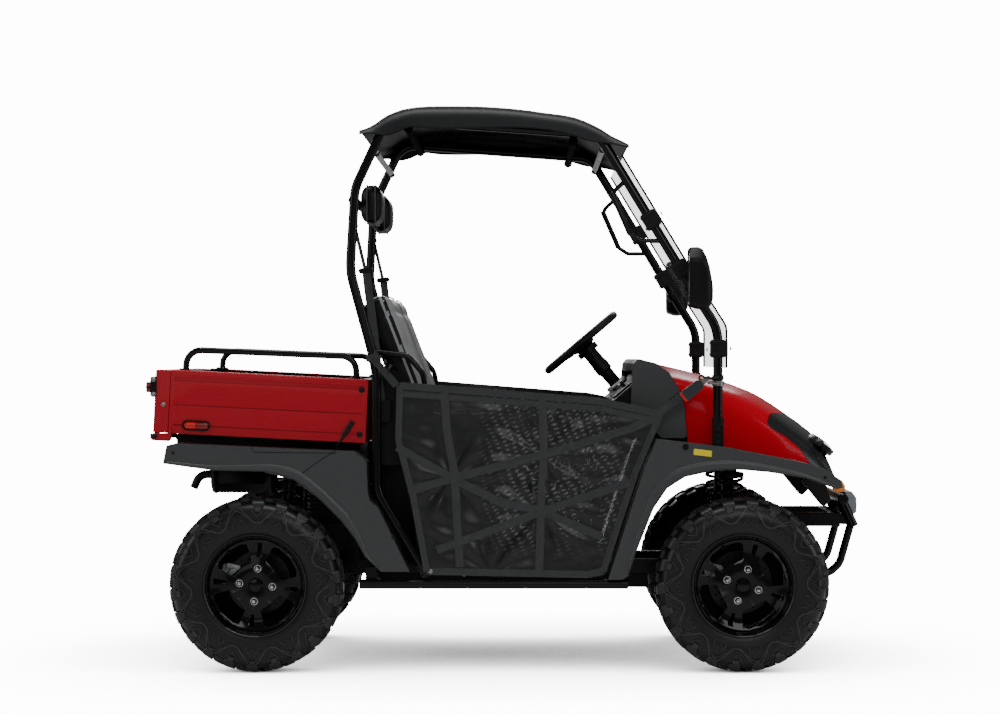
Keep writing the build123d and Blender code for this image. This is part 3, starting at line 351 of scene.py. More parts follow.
# %% Finishes
FINISHES = {  # key: name, colour, roughness, and what differs from the maker's usual look
    "frame": ("frame_black_coat", (0.004, 0.004, 0.0045), 0.3, {"coat": 0.03, "grain": (900, 0.8), "bump": 0.05}),
    "cage": ("cage_gloss_black", (0.003, 0.003, 0.0033), 0.2, {
        "coat": 0.12, "drift": 0.1, "scuff": 0.05, "grain": (500, 0.9), "bump": 0.02, "dust": 0.01}),
    "underbody": ("underbody_black", (0.004, 0.004, 0.004), 0.6, {"grain": (400, 0.6), "bump": 0.2, "dust": 0.02}),
    "grey_plastic": ("fender_grey_plastic", (0.045, 0.0475, 0.049), 0.36, {
        "grain": (1400, 0.5), "bump": 0.1, "drift": 0.05, "dust": 0.01, "gloss": 0.3}),
    "black_plastic": ("inner_black_plastic", (0.004, 0.004, 0.0045), 0.4, {
        "grain": (1100, 0.5), "bump": 0.12, "dust": 0.01}),
    "nose": ("nose_satin_black", (0.006, 0.0065, 0.007), 0.32, {
        "grain": (1400, 0.5), "bump": 0.08, "dust": 0.0, "gloss": 0.3}),
    "guard": ("guard_light_grey", (0.20, 0.215, 0.225), 0.4, {"grain": (1300, 0.5), "bump": 0.08}),
    "hood_red": ("hood_gloss_red", (0.40, 0.0022, 0.012), 0.24, {
        "coat": 0.04, "drift": 0.03, "drift_scale": 2.0, "scuff": 0.02, "grain": (260, 1.0),
        "bump": 0.008, "dust": 0.0, "gloss": 0.2}),
    "bed_red": ("bed_red_paint", (0.40, 0.0015, 0.011), 0.34, {
        "coat": 0.08, "drift": 0.025, "drift_scale": 3.0, "scuff": 0.015, "grain": (700, 0.9),
        "bump": 0.02, "dust": 0.0, "gloss": 0.25}),
    "roof": ("roof_textured_black", (0.0085, 0.0092, 0.0098), 0.4, {
        "grain": (750, 0.35), "bump": 0.3, "drift": 0.06, "dust": 0.0}),
    "rubber": ("tyre_black_rubber", (0.0058, 0.0058, 0.0061), 0.36, {
        "grain": (500, 0.6), "bump": 0.12, "drift": 0.12, "drift_scale": 9, "dust": 0.01, "gloss": 0.3}),
    "soft_rubber": ("soft_black_rubber", (0.005, 0.005, 0.005), 0.5, {"grain": (900, 0.6), "bump": 0.12}),
    "rim": ("rim_gloss_black", (0.002, 0.002, 0.0022), 0.1, {
        "coat": 0.15, "scuff": 0.03, "grain": (300, 1.0), "bump": 0.01, "dust": 0.005}),
    "chrome": ("chrome_nut", (0.55, 0.56, 0.58), 0.14, {"metal": 1.0, "scuff": 0.05, "drift": 0.03, "dust": 0.0}),
    "steel": ("machined_steel", (0.30, 0.30, 0.31), 0.32, {
        "metal": 1.0, "scuff": 0.12, "drift": 0.08, "grain": (800, 0.7), "bump": 0.05}),
    "zinc": ("zinc_bolt", (0.26, 0.26, 0.25), 0.32, {"metal": 1.0, "scuff": 0.1, "drift": 0.08, "dust": 0.02}),
    "black_bolt": ("black_bolt", (0.02, 0.02, 0.02), 0.3, {"metal": 0.6, "scuff": 0.1, "drift": 0.1}),
    "caliper": ("cast_caliper", (0.42, 0.43, 0.44), 0.35, {"metal": 0.9, "grain": (450, 0.6), "bump": 0.15}),
    "cast": ("cast_engine", (0.035, 0.036, 0.038), 0.5, {
        "metal": 0.7, "grain": (350, 0.5), "bump": 0.3, "drift": 0.2, "dust": 0.03}),
    "exhaust": ("exhaust_black_steel", (0.018, 0.0175, 0.017), 0.42, {
        "metal": 0.6, "drift": 0.3, "drift_scale": 12, "scuff": 0.12, "dust": 0.02}),
    "spring": ("spring_black", (0.014, 0.014, 0.015), 0.26, {
        "coat": 0.2, "scuff": 0.08, "grain": (600, 0.8), "bump": 0.05}),
    "seat_black": ("seat_black_vinyl", (0.0055, 0.0055, 0.006), 0.34, {
        "grain": (420, 0.35), "bump": 0.25, "drift": 0.06, "dust": 0.0}),
    "seat_grey": ("seat_grey_vinyl", (0.23, 0.235, 0.24), 0.42, {
        "grain": (420, 0.35), "bump": 0.25, "drift": 0.05, "dust": 0.0}),
    "piping": ("seat_piping", (0.07, 0.073, 0.076), 0.4, {"grain": (900, 0.5), "bump": 0.1, "dust": 0.0}),
    "net": ("net_black_mesh", (0.0042, 0.0046, 0.0048), 0.34, {
        "weave": (110, 0.065), "bump": 0.15, "drift": 0.5, "drift_scale": 13, "dust": 0.0, "gloss": 0.4}),
    "disc": ("brake_disc_steel", (0.03, 0.03, 0.032), 0.4, {
        "metal": 1.0, "scuff": 0.15, "drift": 0.1, "grain": (900, 0.7), "bump": 0.05}),
    "strap": ("webbing_black", (0.016, 0.0182, 0.0192), 0.42, {
        "weave": (420, None), "bump": 0.4, "drift": 0.3, "drift_scale": 24, "dust": 0.0, "gloss": 0.5}),
    "buckle": ("buckle_grey", (0.034, 0.038, 0.041), 0.35, {"grain": (1200, 0.5), "bump": 0.08, "dust": 0.0}),
    "red_button": ("button_red", (0.65, 0.03, 0.02), 0.3, {"grain": (900, 0.7), "bump": 0.05, "dust": 0.0}),
    "grip": ("grip_soft_black", (0.010, 0.010, 0.010), 0.42, {"grain": (700, 0.4), "bump": 0.25, "dust": 0.0}),
    "amber": ("lens_amber", (0.85, 0.22, 0.01), 0.12, {
        "coat": 0.6, "weave": (120, None), "bump": 0.4, "dust": 0.0}),
    "red_lens": ("lens_red", (0.62, 0.012, 0.01), 0.1, {
        "coat": 0.7, "weave": (130, None), "bump": 0.35, "dust": 0.0}),
    "dark_red_lens": ("lens_dark_red", (0.22, 0.008, 0.008), 0.12, {
        "coat": 0.7, "weave": (130, None), "bump": 0.35, "dust": 0.0}),
    "plate_yellow": ("plate_yellow", (0.80, 0.62, 0.02), 0.4, {"grain": (600, 0.8), "bump": 0.04, "dust": 0.0}),
    "matte": ("cross_tube_matte", (0.0025, 0.0025, 0.0025), 0.85, {"gloss": 0.02, "dust": 0.0}),
    "silver": ("bracket_silver", (0.62, 0.63, 0.64), 0.3, {
        "metal": 0.35, "scuff": 0.12, "drift": 0.06, "grain": (900, 0.7), "bump": 0.06, "dust": 0.0}),
    "mirror": ("mirror_face", (0.86, 0.88, 0.9), 0.03, {"metal": 1.0, "scuff": 0.02, "drift": 0.02, "dust": 0.0}),
    "reflector": ("lamp_reflector", (0.8, 0.82, 0.84), 0.12, {
        "metal": 1.0, "scuff": 0.05, "drift": 0.05, "weave": (60, None), "bump": 0.2, "dust": 0.0}),
    "bulb": ("bulb_warm", (1.0, 0.93, 0.8), 0.2, {"drift": 0.02, "glow": 0.6, "dust": 0.0}),
    "dial": ("dial_face", (0.02, 0.022, 0.024), 0.15, {"coat": 0.7, "dust": 0.0}),
}
M = {key: finish(name, color, rough, **look) for key, (name, color, rough, look) in FINISHES.items()}
M["lens"] = clear("lens_clear", (0.92, 0.94, 0.95), 0.04, alpha=0.22)
M["screen"] = clear("screen_clear_sheet", (0.72, 0.75, 0.77), 0.06, alpha=0.07)
M["hood_red"].node_tree.nodes["Principled BSDF"].inputs["IOR"].default_value = 1.16
# Painted highlights on the tyre's ribs and lugs and on the rim's edges.
paint_edge_highlights(M["rubber"], (0.030, 0.031, 0.032), 0.52, 0.62)
paint_edge_highlights(M["rim"], (0.045, 0.046, 0.047), 0.53, 0.66)
print("finishes:", len(M))

# %% [markdown]
# Two layers of net make a pattern of small bright lenses where their threads cross. Two leaning, bent sets of waves
# paint that glint pattern into the net's colour as a painted highlight, over the open part of the cabin only.

# %% Net pattern, painted highlight
net_tree = M["net"].node_tree
slant = {"Vector": place_on_piece(net_tree), "Rotation": (0, math.radians(24), 0)}
slanted = add_node(net_tree, "Mapping", slant).outputs[0]
painted_glints = []
for axis, scale, bend in (("X", 11.0, 4.5), ("Z", 21.0, 3.5)):
    look = {"Vector": slanted, "Scale": scale, "Distortion": bend, "Detail": 1}
    painted_glints.append(add_node(net_tree, "TexWave", look, bands_direction=axis).outputs["Fac"])
where = add_node(net_tree, "SeparateXYZ", {0: place_on_piece(net_tree)}).outputs
patches = texture(net_tree, "Noise", {"Scale": 9}).outputs["Fac"]
strength = ramp(net_tree, maths(net_tree, "MULTIPLY", *painted_glints), 0.32, 0.75)
FADES = ((where["X"], -0.12, -0.02), (where["X"], 0.40, 0.33), (where["Z"], 0.38, 0.46), (patches, 0.36, 0.5))
for source, low, high in FADES:
    strength = maths(net_tree, "MULTIPLY", strength, ramp(net_tree, source, low, high))
# Painted highlight: the glint mask lightens the net's base colour.
recolor(M["net"], strength, (0.075, 0.078, 0.079))
print("net pattern fades:", len(FADES))

# %% [markdown]
# ## Shaping helpers
#
# Most pieces are made from four moves: a lathe turns a profile, a pipe follows bent runs, a prism gives an
# outline thickness, and a skin joins rings of points. Each writes into an open mesh, so like shapes join in
# one piece. A last helper closes the mesh, smooths it up to an angle and fixes it to its body.

# %% Mesh helpers
SIDE_VIEW = ((1, 0, 0), (0, 0, 1))  # the two axes of an outline drawn in side view, from behind and from above
REAR_VIEW = ((0, 1, 0), (0, 0, 1))
PLAN_VIEW = ((1, 0, 0), (0, 1, 0))
ORIGIN = (0, 0, 0)


def mesh_of(name, work):
    """Close an open mesh into mesh data, with its faces turned outward."""
    bmesh.ops.recalc_face_normals(work, faces=work.faces)
    mesh = bpy.data.meshes.new(name)
    work.to_mesh(mesh)
    work.free()
    return mesh


def surface(mesh, material, smooth):
    """Give mesh data its finish, smooth up to an angle."""
    if material:
        mesh.materials.clear()
        mesh.materials.append(material)
    mesh.shade_smooth()
    mesh.set_sharp_from_angle(angle=math.radians(smooth))


def round_edges(made, width, segments, angle):
    """Rounded edges where faces meet at more than an angle."""
    rounding = made.modifiers.new("edges", "BEVEL")
    rounding.width = mm(width)
    rounding.segments = segments
    rounding.limit_method = "ANGLE"
    rounding.angle_limit = math.radians(angle)
    return rounding


def thicken(made, thickness, offset=-1.0):
    """Give a sheet a thickness, behind its points unless the offset is positive."""
    shell = made.modifiers.new("thick", "SOLIDIFY")
    shell.thickness = mm(thickness)
    shell.offset = offset


def refine(made):
    """One level of smooth subdivision."""
    finer = made.modifiers.new("finer", "SUBSURF")
    finer.levels = finer.render_levels = 1


def placed(name, mesh, body, material, slot, stands_for=None, smooth=35.0, bevel=0.0, segments=2, finer=False):
    """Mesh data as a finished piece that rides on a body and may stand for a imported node."""
    made = show(name, mesh)
    surface(mesh, material, smooth)
    if bevel:
        round_edges(made, bevel, segments, 32).harden_normals = True
    if finer:
        refine(made)
    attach(made, body)
    if stands_for:
        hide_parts(stands_for)
    return made


def settle(name, work, body, material, slot, stands_for=None, **look):
    """Turn an open mesh into a finished piece."""
    return placed(name, mesh_of(name, work), body, material, slot, stands_for, **look)


def copy_of(node, body, material, slot, **look):
    """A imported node's shape with welded faces and rounded edges, standing for that node."""
    work = bmesh.new()
    work.from_mesh(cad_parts[node].data)
    bmesh.ops.remove_doubles(work, verts=work.verts, dist=mm(0.02))
    bmesh.ops.dissolve_limit(work, angle_limit=math.radians(1.0), verts=work.verts, edges=work.edges)
    look = {"bevel": 3.0, "segments": 3} | look
    return settle(node + "_dressed", work, body, material, slot, node, **look)


def baked(holder):
    """Mesh data of an object with its modifiers applied."""
    return bpy.data.meshes.new_from_object(holder.evaluated_get(bpy.context.evaluated_depsgraph_get()))


def carved(mesh, cuts, bevel=0.0):
    """A mesh after (operation, cutter mesh) steps, its cut edges rounded on request."""
    holder = show("carving", mesh)
    helpers = [holder]
    for operation, cutter_mesh in cuts:
        helpers.append(show("cutter", cutter_mesh))
        step = holder.modifiers.new("cut", "BOOLEAN")
        step.operation = operation
        step.object = helpers[-1]
        step.solver = "EXACT"
    if bevel:
        round_edges(holder, bevel, 3, 40)
    result = baked(holder)
    for helper in helpers:
        bpy.data.objects.remove(helper)
    return result


def frames_along(points, closed=False):
    """Directions and a steady pair of side vectors for each point of a path."""
    count = len(points)
    directions = []
    for index in range(count):
        before = points[index - 1] if index or closed else points[0]
        after = points[(index + 1) % count] if index < count - 1 or closed else points[-1]
        directions.append((after - before).normalized())
    side = directions[0].orthogonal().normalized()
    pairs = []
    for direction in directions:
        side = (side - direction * side.dot(direction)).normalized()
        pairs.append((direction, side, direction.cross(side)))
    return pairs


def arc_between(corner, back, ahead, angle, radius, steps):
    """Points of the arc that touches both arms of a corner, which meet at an angle."""
    centre = corner + (back + ahead).normalized() * radius / math.sin(angle / 2)
    fit = radius / math.tan(angle / 2)
    start, stop = ((corner + arm * fit - centre).normalized() for arm in (back, ahead))
    return [centre + start.slerp(stop, step / steps) * radius for step in range(steps + 1)]


def bent(points, radii, steps=6):
    """Straight runs with their corners turned into arcs; radii is one number or one for each corner."""
    points = [Vector(point) for point in points]
    if isinstance(radii, (int, float)):
        radii = [radii] * (len(points) - 2)
    path = [points[0]]
    for index, radius in enumerate(radii, start=1):
        corner = points[index]
        back = (points[index - 1] - corner).normalized()
        ahead = (points[index + 1] - corner).normalized()
        angle = back.angle(ahead)
        if angle > math.radians(178.5):
            path.append(corner)
        else:
            path += arc_between(corner, back, ahead, angle, radius, steps)
    return path + [points[-1]]


def rounded(outline, radius, steps=4):
    """A closed 2D outline with its corners turned into arcs."""
    result = []
    count = len(outline)
    for index in range(count):
        before, corner, after = (Vector(outline[(index + k) % count]).to_3d() for k in (-1, 0, 1))
        back, ahead = before - corner, after - corner
        angle = back.angle(ahead)
        if angle > math.radians(175):
            result.append((corner.x, corner.y))
            continue
        slope = math.tan(angle / 2)
        fit = min(radius / slope, 0.45 * min(back.length, ahead.length))
        arc = arc_between(corner, back.normalized(), ahead.normalized(), angle, fit * slope, steps)
        result += [(point.x, point.y) for point in arc]
    return result


def box(low_x, low_y, high_x, high_y, corner=0.0, steps=4):
    """A rectangle's outline, its corners rounded on request."""
    outline = [(low_x, low_y), (high_x, low_y), (high_x, high_y), (low_x, high_y)]
    return rounded(outline, corner, steps) if corner else outline


def circle(radius, count=24, centre=(0, 0)):
    """Points round a circle."""
    turns = [2 * math.pi * k / count for k in range(count)]
    return [(centre[0] + radius * math.cos(turn), centre[1] + radius * math.sin(turn)) for turn in turns]


def ring_of(work, points):
    """New mesh points from places in millimetres."""
    return [work.verts.new(point / 1000) for point in points]


def join_rings(work, rings, closed=False, wrap=True):
    """Quads between rings of points that match one to one."""
    pairs = list(zip(rings, rings[1:]))
    if closed:
        pairs.append((rings[-1], rings[0]))
    for first, second in pairs:
        count = len(first)
        for step in range(count if wrap else count - 1):
            after = (step + 1) % count
            work.faces.new((first[step], first[after], second[after], second[step]))


def skin(work, rings):
    """Quads between rings, and a face on both ends."""
    join_rings(work, rings)
    work.faces.new(rings[0][::-1])
    work.faces.new(rings[-1])


def tube_rings(work, points, radius, turns, closed=False):
    """Round sections along a path in metres, one ring of mesh points for each of its points."""
    rings = []
    for point, (_, side, up) in zip(points, frames_along(points, closed)):
        offsets = [side * math.cos(turn) + up * math.sin(turn) for turn in turns]
        rings.append([work.verts.new(point + offset * mm(radius)) for offset in offsets])
    return rings


def add_pipe(work, points, radius, radii=40.0, sides=18, closed=False):
    """Sweep a round section along bent runs. Points and radii are in millimetres."""
    path = [Vector(point) / 1000 for point in (points if closed else bent(points, radii))]
    rings = tube_rings(work, path, radius, [2 * math.pi * step / sides for step in range(sides)], closed)
    if closed:
        join_rings(work, rings, closed)
    else:
        skin(work, rings)


def add_lathe(work, profile, centre, axis, segments=64, closed=True, up=None):
    """Turn (radius, along) points about an axis; a closed profile gives a ring or a solid."""
    axis = Vector(axis).normalized()
    side = (Vector(up) if up else axis.orthogonal()).normalized()
    other = axis.cross(side)
    rings = []
    for step in range(segments):
        turn = 2 * math.pi * step / segments
        out = side * math.cos(turn) + other * math.sin(turn)
        places = [Vector(centre) + axis * along + out * max(radius, 0.02) for radius, along in profile]
        rings.append(ring_of(work, places))
    join_rings(work, rings, closed=True, wrap=closed)
    bmesh.ops.remove_doubles(work, verts=[v for ring in rings for v in ring], dist=mm(0.05))


def add_prism(work, outline, origin, x_axis, y_axis, low, high):
    """An outline in a plane, made solid between two heights above it."""
    x_axis, y_axis = Vector(x_axis).normalized(), Vector(y_axis).normalized()
    normal = x_axis.cross(y_axis)
    layers = []
    for level in (low, high):
        layers.append(ring_of(work, [Vector(origin) + x_axis * x + y_axis * y + normal * level for x, y in outline]))
    skin(work, layers)


def side_plate(work, outline, sign, near, far):
    """A side-view outline made solid between two distances from the vehicle's middle plane."""
    add_prism(work, outline, ORIGIN, *SIDE_VIEW, *sorted((-sign * near, -sign * far)))


def add_block(work, low, high):
    """A box between two corners in millimetres."""
    add_prism(work, box(*low[:2], *high[:2]), ORIGIN, *PLAN_VIEW, low[2], high[2])


def add_rod(work, start, stop, radius, sides=20):
    """A round rod between two points, with its end edges eased."""
    start, stop = Vector(start), Vector(stop)
    length = (stop - start).length
    ease = min(radius * 0.15, length * 0.2)
    inner = radius - ease
    profile = [(0, 0), (inner, 0), (radius, ease), (radius, length - ease), (inner, length), (0, length)]
    add_lathe(work, profile, start, stop - start, sides, closed=False)


def add_bolt(work, place, outward, radius=8.0, height=6.0):
    """A hexagon head on a washer."""
    outward = Vector(outward).normalized()
    add_rod(work, Vector(place), Vector(place) + outward * 1.6, radius * 1.45, 20)
    head = [(0, 1.4), (radius, 1.4), (radius, height - 1), (radius * 0.82, height), (0, height)]
    add_lathe(work, head, place, outward, 6, closed=False)


def punched(outlines, thickness):
    """A flat plate with holes: the first outline is the edge, the others are holes. Gives mesh data."""
    curve = bpy.data.curves.new("punched", "CURVE")
    curve.dimensions = "2D"
    curve.fill_mode = "BOTH"
    curve.extrude = mm(thickness / 2)
    for outline in outlines:
        spline = curve.splines.new("POLY")
        spline.points.add(len(outline) - 1)
        for point, (x, y) in zip(spline.points, outline):
            point.co = (mm(x), mm(y), 0, 1)
        spline.use_cyclic_u = True
    holder = show("punched", curve)
    mesh = bpy.data.meshes.new_from_object(holder)
    bpy.data.objects.remove(holder)
    bpy.data.curves.remove(curve)
    return mesh


print("helpers ready")

# %% [markdown]
# ## Tyres
#
# An off-road tyre is a smooth carcass with separate rubber blocks on it. The carcass is turned from one
# profile, measured from the middle of the tread (s = 0) over the shoulder and down to the bead. Every block
# and rib is then laid on that surface by two numbers, the turn angle and s, so nothing floats or sinks.

# %% Tyre surface
TYRE_SECTION = [  # across from the tread's middle, radius
    (0, 280.5), (30, 280), (54, 278), (70, 273), (82, 264), (90, 252), (95, 236),
    (96.5, 218), (94.5, 200), (91.5, 187), (90.5, 179), (88, 173.5), (87, 165),
]
section_run = [0.0]
for (x0, r0), (x1, r1) in zip(TYRE_SECTION, TYRE_SECTION[1:]):
    section_run.append(section_run[-1] + math.hypot(x1 - x0, r1 - r0))


def tyre_point(angle, s, lift=0.0):
    """A place on the tyre, with the wheel's axle along Y: turn angle in degrees, s from the tread's middle."""
    side, s = (1 if s >= 0 else -1), abs(s)
    index = min(max(int(np.searchsorted(section_run, s)) - 1, 0), len(TYRE_SECTION) - 2)
    share = (s - section_run[index]) / (section_run[index + 1] - section_run[index])
    (x0, r0), (x1, r1) = TYRE_SECTION[index], TYRE_SECTION[index + 1]
    dx, dr = x1 - x0, r1 - r0
    run = math.hypot(dx, dr)
    along = x0 + dx * share - dr / run * lift
    radius = r0 + dr * share + dx / run * lift
    turn = math.radians(angle)
    return Vector((radius * math.cos(turn), side * along, radius * math.sin(turn))) / 1000


def add_lug(work, stations, draft=2.2):
    """A rubber block: each station is (s, low angle, high angle, height)."""
    ease = math.degrees(draft / 285)
    rings = []
    for s, low, high, height in stations:
        half = ((0, -1.5), (ease, height - 1.2), (ease * 1.7, height))
        places = [(low + inset, lift) for inset, lift in half] + [(high - inset, lift) for inset, lift in half[::-1]]
        rings.append([work.verts.new(tyre_point(angle, s, lift)) for angle, lift in places])
    skin(work, rings)


def add_rib(work, path, width, height):
    """A raised line on the sidewall through (angle, s) points."""
    middle = [tyre_point(angle, s) for angle, s in path]
    lifted = [tyre_point(angle, s, height) for angle, s in path]
    rings = []
    for index, (low, high) in enumerate(zip(middle, lifted)):
        ahead = middle[min(index + 1, len(middle) - 1)] - middle[max(index - 1, 0)]
        outward = (high - low).normalized()
        across = outward.cross(ahead).normalized() * mm(width / 2)
        sunk = low - outward * mm(0.8)
        section = (sunk - across, high - across * 0.55, high + across * 0.55, sunk + across)
        rings.append([work.verts.new(point) for point in section])
    skin(work, rings)


print("tread middle to bead:", round(section_run[-1]), "mm")

# %% [markdown]
# The tread has 22 shoulder lugs a side and a broken chevron row between them, turned half a pitch from side
# to side so the tyre rolls quietly. Long and short lugs take turns. The sidewall has 11 repeats: a zigzag of
# two ribs, a small M and a short chevron near the rim, and a plain pad near the tread.

# %% One tyre mesh for all four wheels
LUGS = 22
REPEATS = 11
PITCH = 360 / LUGS
LUG_ENDS = (104, 93)  # how far down the shoulder long and short lugs reach
SHOULDER_LUG = (  # s, half its width in degrees, skew in degrees, height
    (50, 3.1, -1.6, 11.2), (60, 3.9, -0.8, 11.5), (68, 4.3, 0, 11.3), (75, 4.5, 0.2, 10.5),
    (80, 4.4, 0.3, 9.0), (84, 4.1, 0.3, 6.8), (88, 3.4, 0.2, 4.8),
)
CENTRE_LUG = ((6, 2.6, 1.8, 11.5), (16, 3.4, 0.9, 11.6), (28, 3.4, -0.6, 11.6), (37, 2.8, -1.9, 11.4))
SMALL_M = ((-6.4, 150), (-4.4, 132), (-2.9, 130), (0, 144), (2.9, 130), (4.4, 132), (6.4, 150))
CHEVRON = ((-4.5, 102), (0, 124), (4.5, 102))


def lay_rib(work, side, middle, points, width, height):
    """A rib whose points are (turn from a middle angle, s)."""
    add_rib(work, [(middle + turn, side * s) for turn, s in points], width, height)


work = bmesh.new()
profile = [(radius, along) for along, radius in TYRE_SECTION]
profile = [(radius, -along) for radius, along in profile[:0:-1]] + profile
add_lathe(work, profile, ORIGIN, (0, 1, 0), 132, closed=True, up=(1, 0, 0))
for number in range(LUGS):
    for side in (1, -1):
        middle = number * PITCH + (PITCH / 2 if side < 0 else 0)
        last = (LUG_ENDS[number % 2], 2.0, 0, 3.2)
        for rows, turn in (((*SHOULDER_LUG, last), middle), (CENTRE_LUG, middle + PITCH / 2)):
            stations = []
            for s, half, skew, height in rows:
                centre = turn + skew * side
                stations.append((side * s, centre - half, centre + half, height))
            add_lug(work, stations)
for number in range(REPEATS):
    for side in (1, -1):
        middle = number * 360 / REPEATS + (PITCH / 2 if side < 0 else 0)
        edge = middle + 16.36
        for drop, width, high in ((0, 8.0, 6.2), (13, 5.5, 5.0)):
            half = [(16.36, 143 - drop * 0.2), (12.4, 139 - drop), (6.6, 112), (1.9, 86 + drop)]
            zigzag = [(-turn, s) for turn, s in half] + half[::-1]
            if drop:
                zigzag = [(turn * 0.72, s) for turn, s in zigzag[1:-1]]
            lay_rib(work, side, middle, zigzag, width, high)
        lay_rib(work, side, middle, SMALL_M, 4.0, 3.2)
        lay_rib(work, side, edge, CHEVRON, 5.0, 4.2)
        add_lug(work, [(side * s, edge - 2.6, edge + 2.6, 4.2) for s in (92, 98, 105)], 1.2)
tyre_mesh = mesh_of("tyre", work)
surface(tyre_mesh, M["rubber"], 28)
print("tyre faces:", len(tyre_mesh.polygons))

# %% [markdown]
# All four wheels share each mesh. The front and rear pairs are turned by different angles, as wheels that
# have just stopped are.

# %% Wheel places
HALF_TRACK = 535
AXLE_HEIGHT = 292
WHEELS = (  # name, x of the axle, sign of y, turn of the spokes, what carries the brake
    ("front_left", 780, 1, -18, "knuckle_left"),
    ("front_right", 780, -1, -18, "knuckle_right"),
    ("rear_left", -845, 1, -6, "chassis"),
    ("rear_right", -845, -1, -6, "chassis"),
)


def wheel_pieces(prefix, mesh, node=None, share=1.0):
    """Copies of one mesh on all four wheels, turned a little so that no two axles look alike."""
    made = {}
    for wheel, axle_x, sign, turn, _ in WHEELS:
        axle = wheel.split("_")[0]
        if axle not in made:
            made[axle] = mesh.copy()
            made[axle].transform(Matrix.Rotation(math.radians(turn * share), 4, "Y"))
        piece = show(f"{prefix}_{wheel}", made[axle])
        place = Matrix.Translation(mm(axle_x, sign * HALF_TRACK, AXLE_HEIGHT))
        piece.matrix_world = place @ Matrix.Rotation(math.radians(0 if sign > 0 else 180), 4, "Z")
        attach(piece, "wheel_" + wheel)
        if node:
            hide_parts(f"{node}_{wheel}")


wheel_pieces("tread_tyre", tyre_mesh, "tyre", 1.7)
print("tyres:", len(WHEELS))

# %% [markdown]
# ## Rims
#
# A cast rim is a turned barrel with a dished face. The face is turned as a solid disc, then four windows and
# four slots are cut through it, the way the mould's cores leave them, and a bevel rounds the cut edges so
# the gloss black catches light. Nuts, brake disc and cap are separate pieces with their own finishes.

# %% Rim face with windows
NUT_CIRCLE = 55
AXLE = (0, 1, 0)
BARREL = [  # radius, outboard
    (171.5, 95), (167.5, 95), (164, 91.5), (161.5, 84), (158, 78), (156, 66), (151, 60), (150, 20),
    (150.5, -60), (156, -84), (163, -93), (171.5, -95), (171.5, -88.4), (160.8, -87), (160.8, 87), (171.5, 88.4),
]
HUB = [(20.2, -64), (45, -64), (45, -10), (60, 4), (60, 50), (20.2, 50)]
FACE = [
    (0, 61), (26, 61), (40, 62.5), (70, 61), (92, 56), (112, 54), (130, 57), (144, 63), (152.5, 66),
    (152.5, 52), (140, 46), (115, 38), (88, 38), (62, 42), (0, 42),
]
CAP = [(0, 60), (23, 60), (24, 66), (21, 70), (12, 71.5), (0, 72)]
WINDOW = (  # angle in a quarter, radius
    (16, 88), (18, 140), (26, 145), (45, 146), (64, 145), (72, 140), (74, 88), (60, 80), (45, 77), (30, 80),
)
work = bmesh.new()
add_lathe(work, BARREL, ORIGIN, AXLE, 128)
add_lathe(work, HUB, ORIGIN, AXLE, 48)
barrel_mesh = mesh_of("rim_barrel", work)
work = bmesh.new()
add_lathe(work, FACE, ORIGIN, AXLE, 128, closed=False)
face_mesh = mesh_of("rim_face", work)
work = bmesh.new()
window = [(radius * math.cos(math.radians(a)), radius * math.sin(math.radians(a))) for a, radius in WINDOW]
slot_hole = [(98, -5), (142, -9), (142, 9), (98, 5)]
for quarter in range(4):
    turn = Matrix.Rotation(math.radians(90 * quarter), 4, "Y")
    x_axis, y_axis = turn @ Vector((1, 0, 0)), turn @ Vector((0, 0, 1))
    add_prism(work, rounded(window, 9, 4), ORIGIN, x_axis, y_axis, -90, 10)
    add_prism(work, rounded(slot_hole, 4, 3), ORIGIN, x_axis, y_axis, -90, 10)
    pocket = x_axis * NUT_CIRCLE + Vector((0, 50, 0))
    add_lathe(work, [(0, 0), (13.5, 0), (15.5, 30), (0, 30)], pocket, AXLE, 24, closed=False)
cut_mesh = carved(face_mesh, [("DIFFERENCE", mesh_of("rim_cutters", work))], bevel=2.4)
work = bmesh.new()
work.from_mesh(barrel_mesh)
work.from_mesh(cut_mesh)
add_lathe(work, CAP, ORIGIN, AXLE, 40, closed=False)
add_rod(work, (96, 56, 96), (102, 70, 102), 4.5, 12)
rim_mesh = bpy.data.meshes.new("rim")
work.to_mesh(rim_mesh)
work.free()
surface(rim_mesh, M["rim"], 34)
print("rim faces:", len(rim_mesh.polygons))

# %% [markdown]
# The brake disc is a drilled steel ring on the hub, and each nut is a six-sided cone with a domed end in its
# pocket. The caliper bridges the disc behind the axle; it stays still while the disc turns, so it rides on
# the axle or the knuckle.

# %% Nuts, discs and calipers
NUT = [(0, 0), (10.5, 0), (10.5, 13), (9, 15.5), (5.5, 18.5), (0, 19.5)]
WASHER = [(0, 0), (12.5, 0), (12.5, 2.5), (0, 2.5)]
DISC_MIDDLE = -62
work = bmesh.new()
for quarter in range(4):
    place = Matrix.Rotation(math.radians(90 * quarter), 4, "Y") @ Vector((NUT_CIRCLE, 51, 0))
    add_lathe(work, NUT, place, AXLE, 6, closed=False)
    add_lathe(work, WASHER, place, AXLE, 24, closed=False)
nut_mesh = mesh_of("nuts", work)
holes = []
for number in range(24):
    angle = 2 * math.pi * number / 24
    for radius in (78, 94) if number % 2 else (86,):
        holes.append(circle(3.4, 8, (radius * math.cos(angle), radius * math.sin(angle))))
disc_mesh = punched([circle(107, 96), circle(62, 48)] + holes, 5)
disc_mesh.transform(Matrix.Translation(mm(0, DISC_MIDDLE, 0)) @ Matrix.Rotation(math.radians(90), 4, "X"))
work = bmesh.new()
work.from_mesh(disc_mesh)
add_lathe(work, [(44, -64), (66, -64), (66, -57), (52, -57), (48, -40), (44, -40)], ORIGIN, AXLE, 40)
work.to_mesh(disc_mesh)
work.free()
surface(nut_mesh, M["chrome"], 30)
surface(disc_mesh, M["disc"], 30)
wheel_pieces("cast_rim", rim_mesh, "rim")
wheel_pieces("wheel_nuts", nut_mesh)
wheel_pieces("brake_disc", disc_mesh)

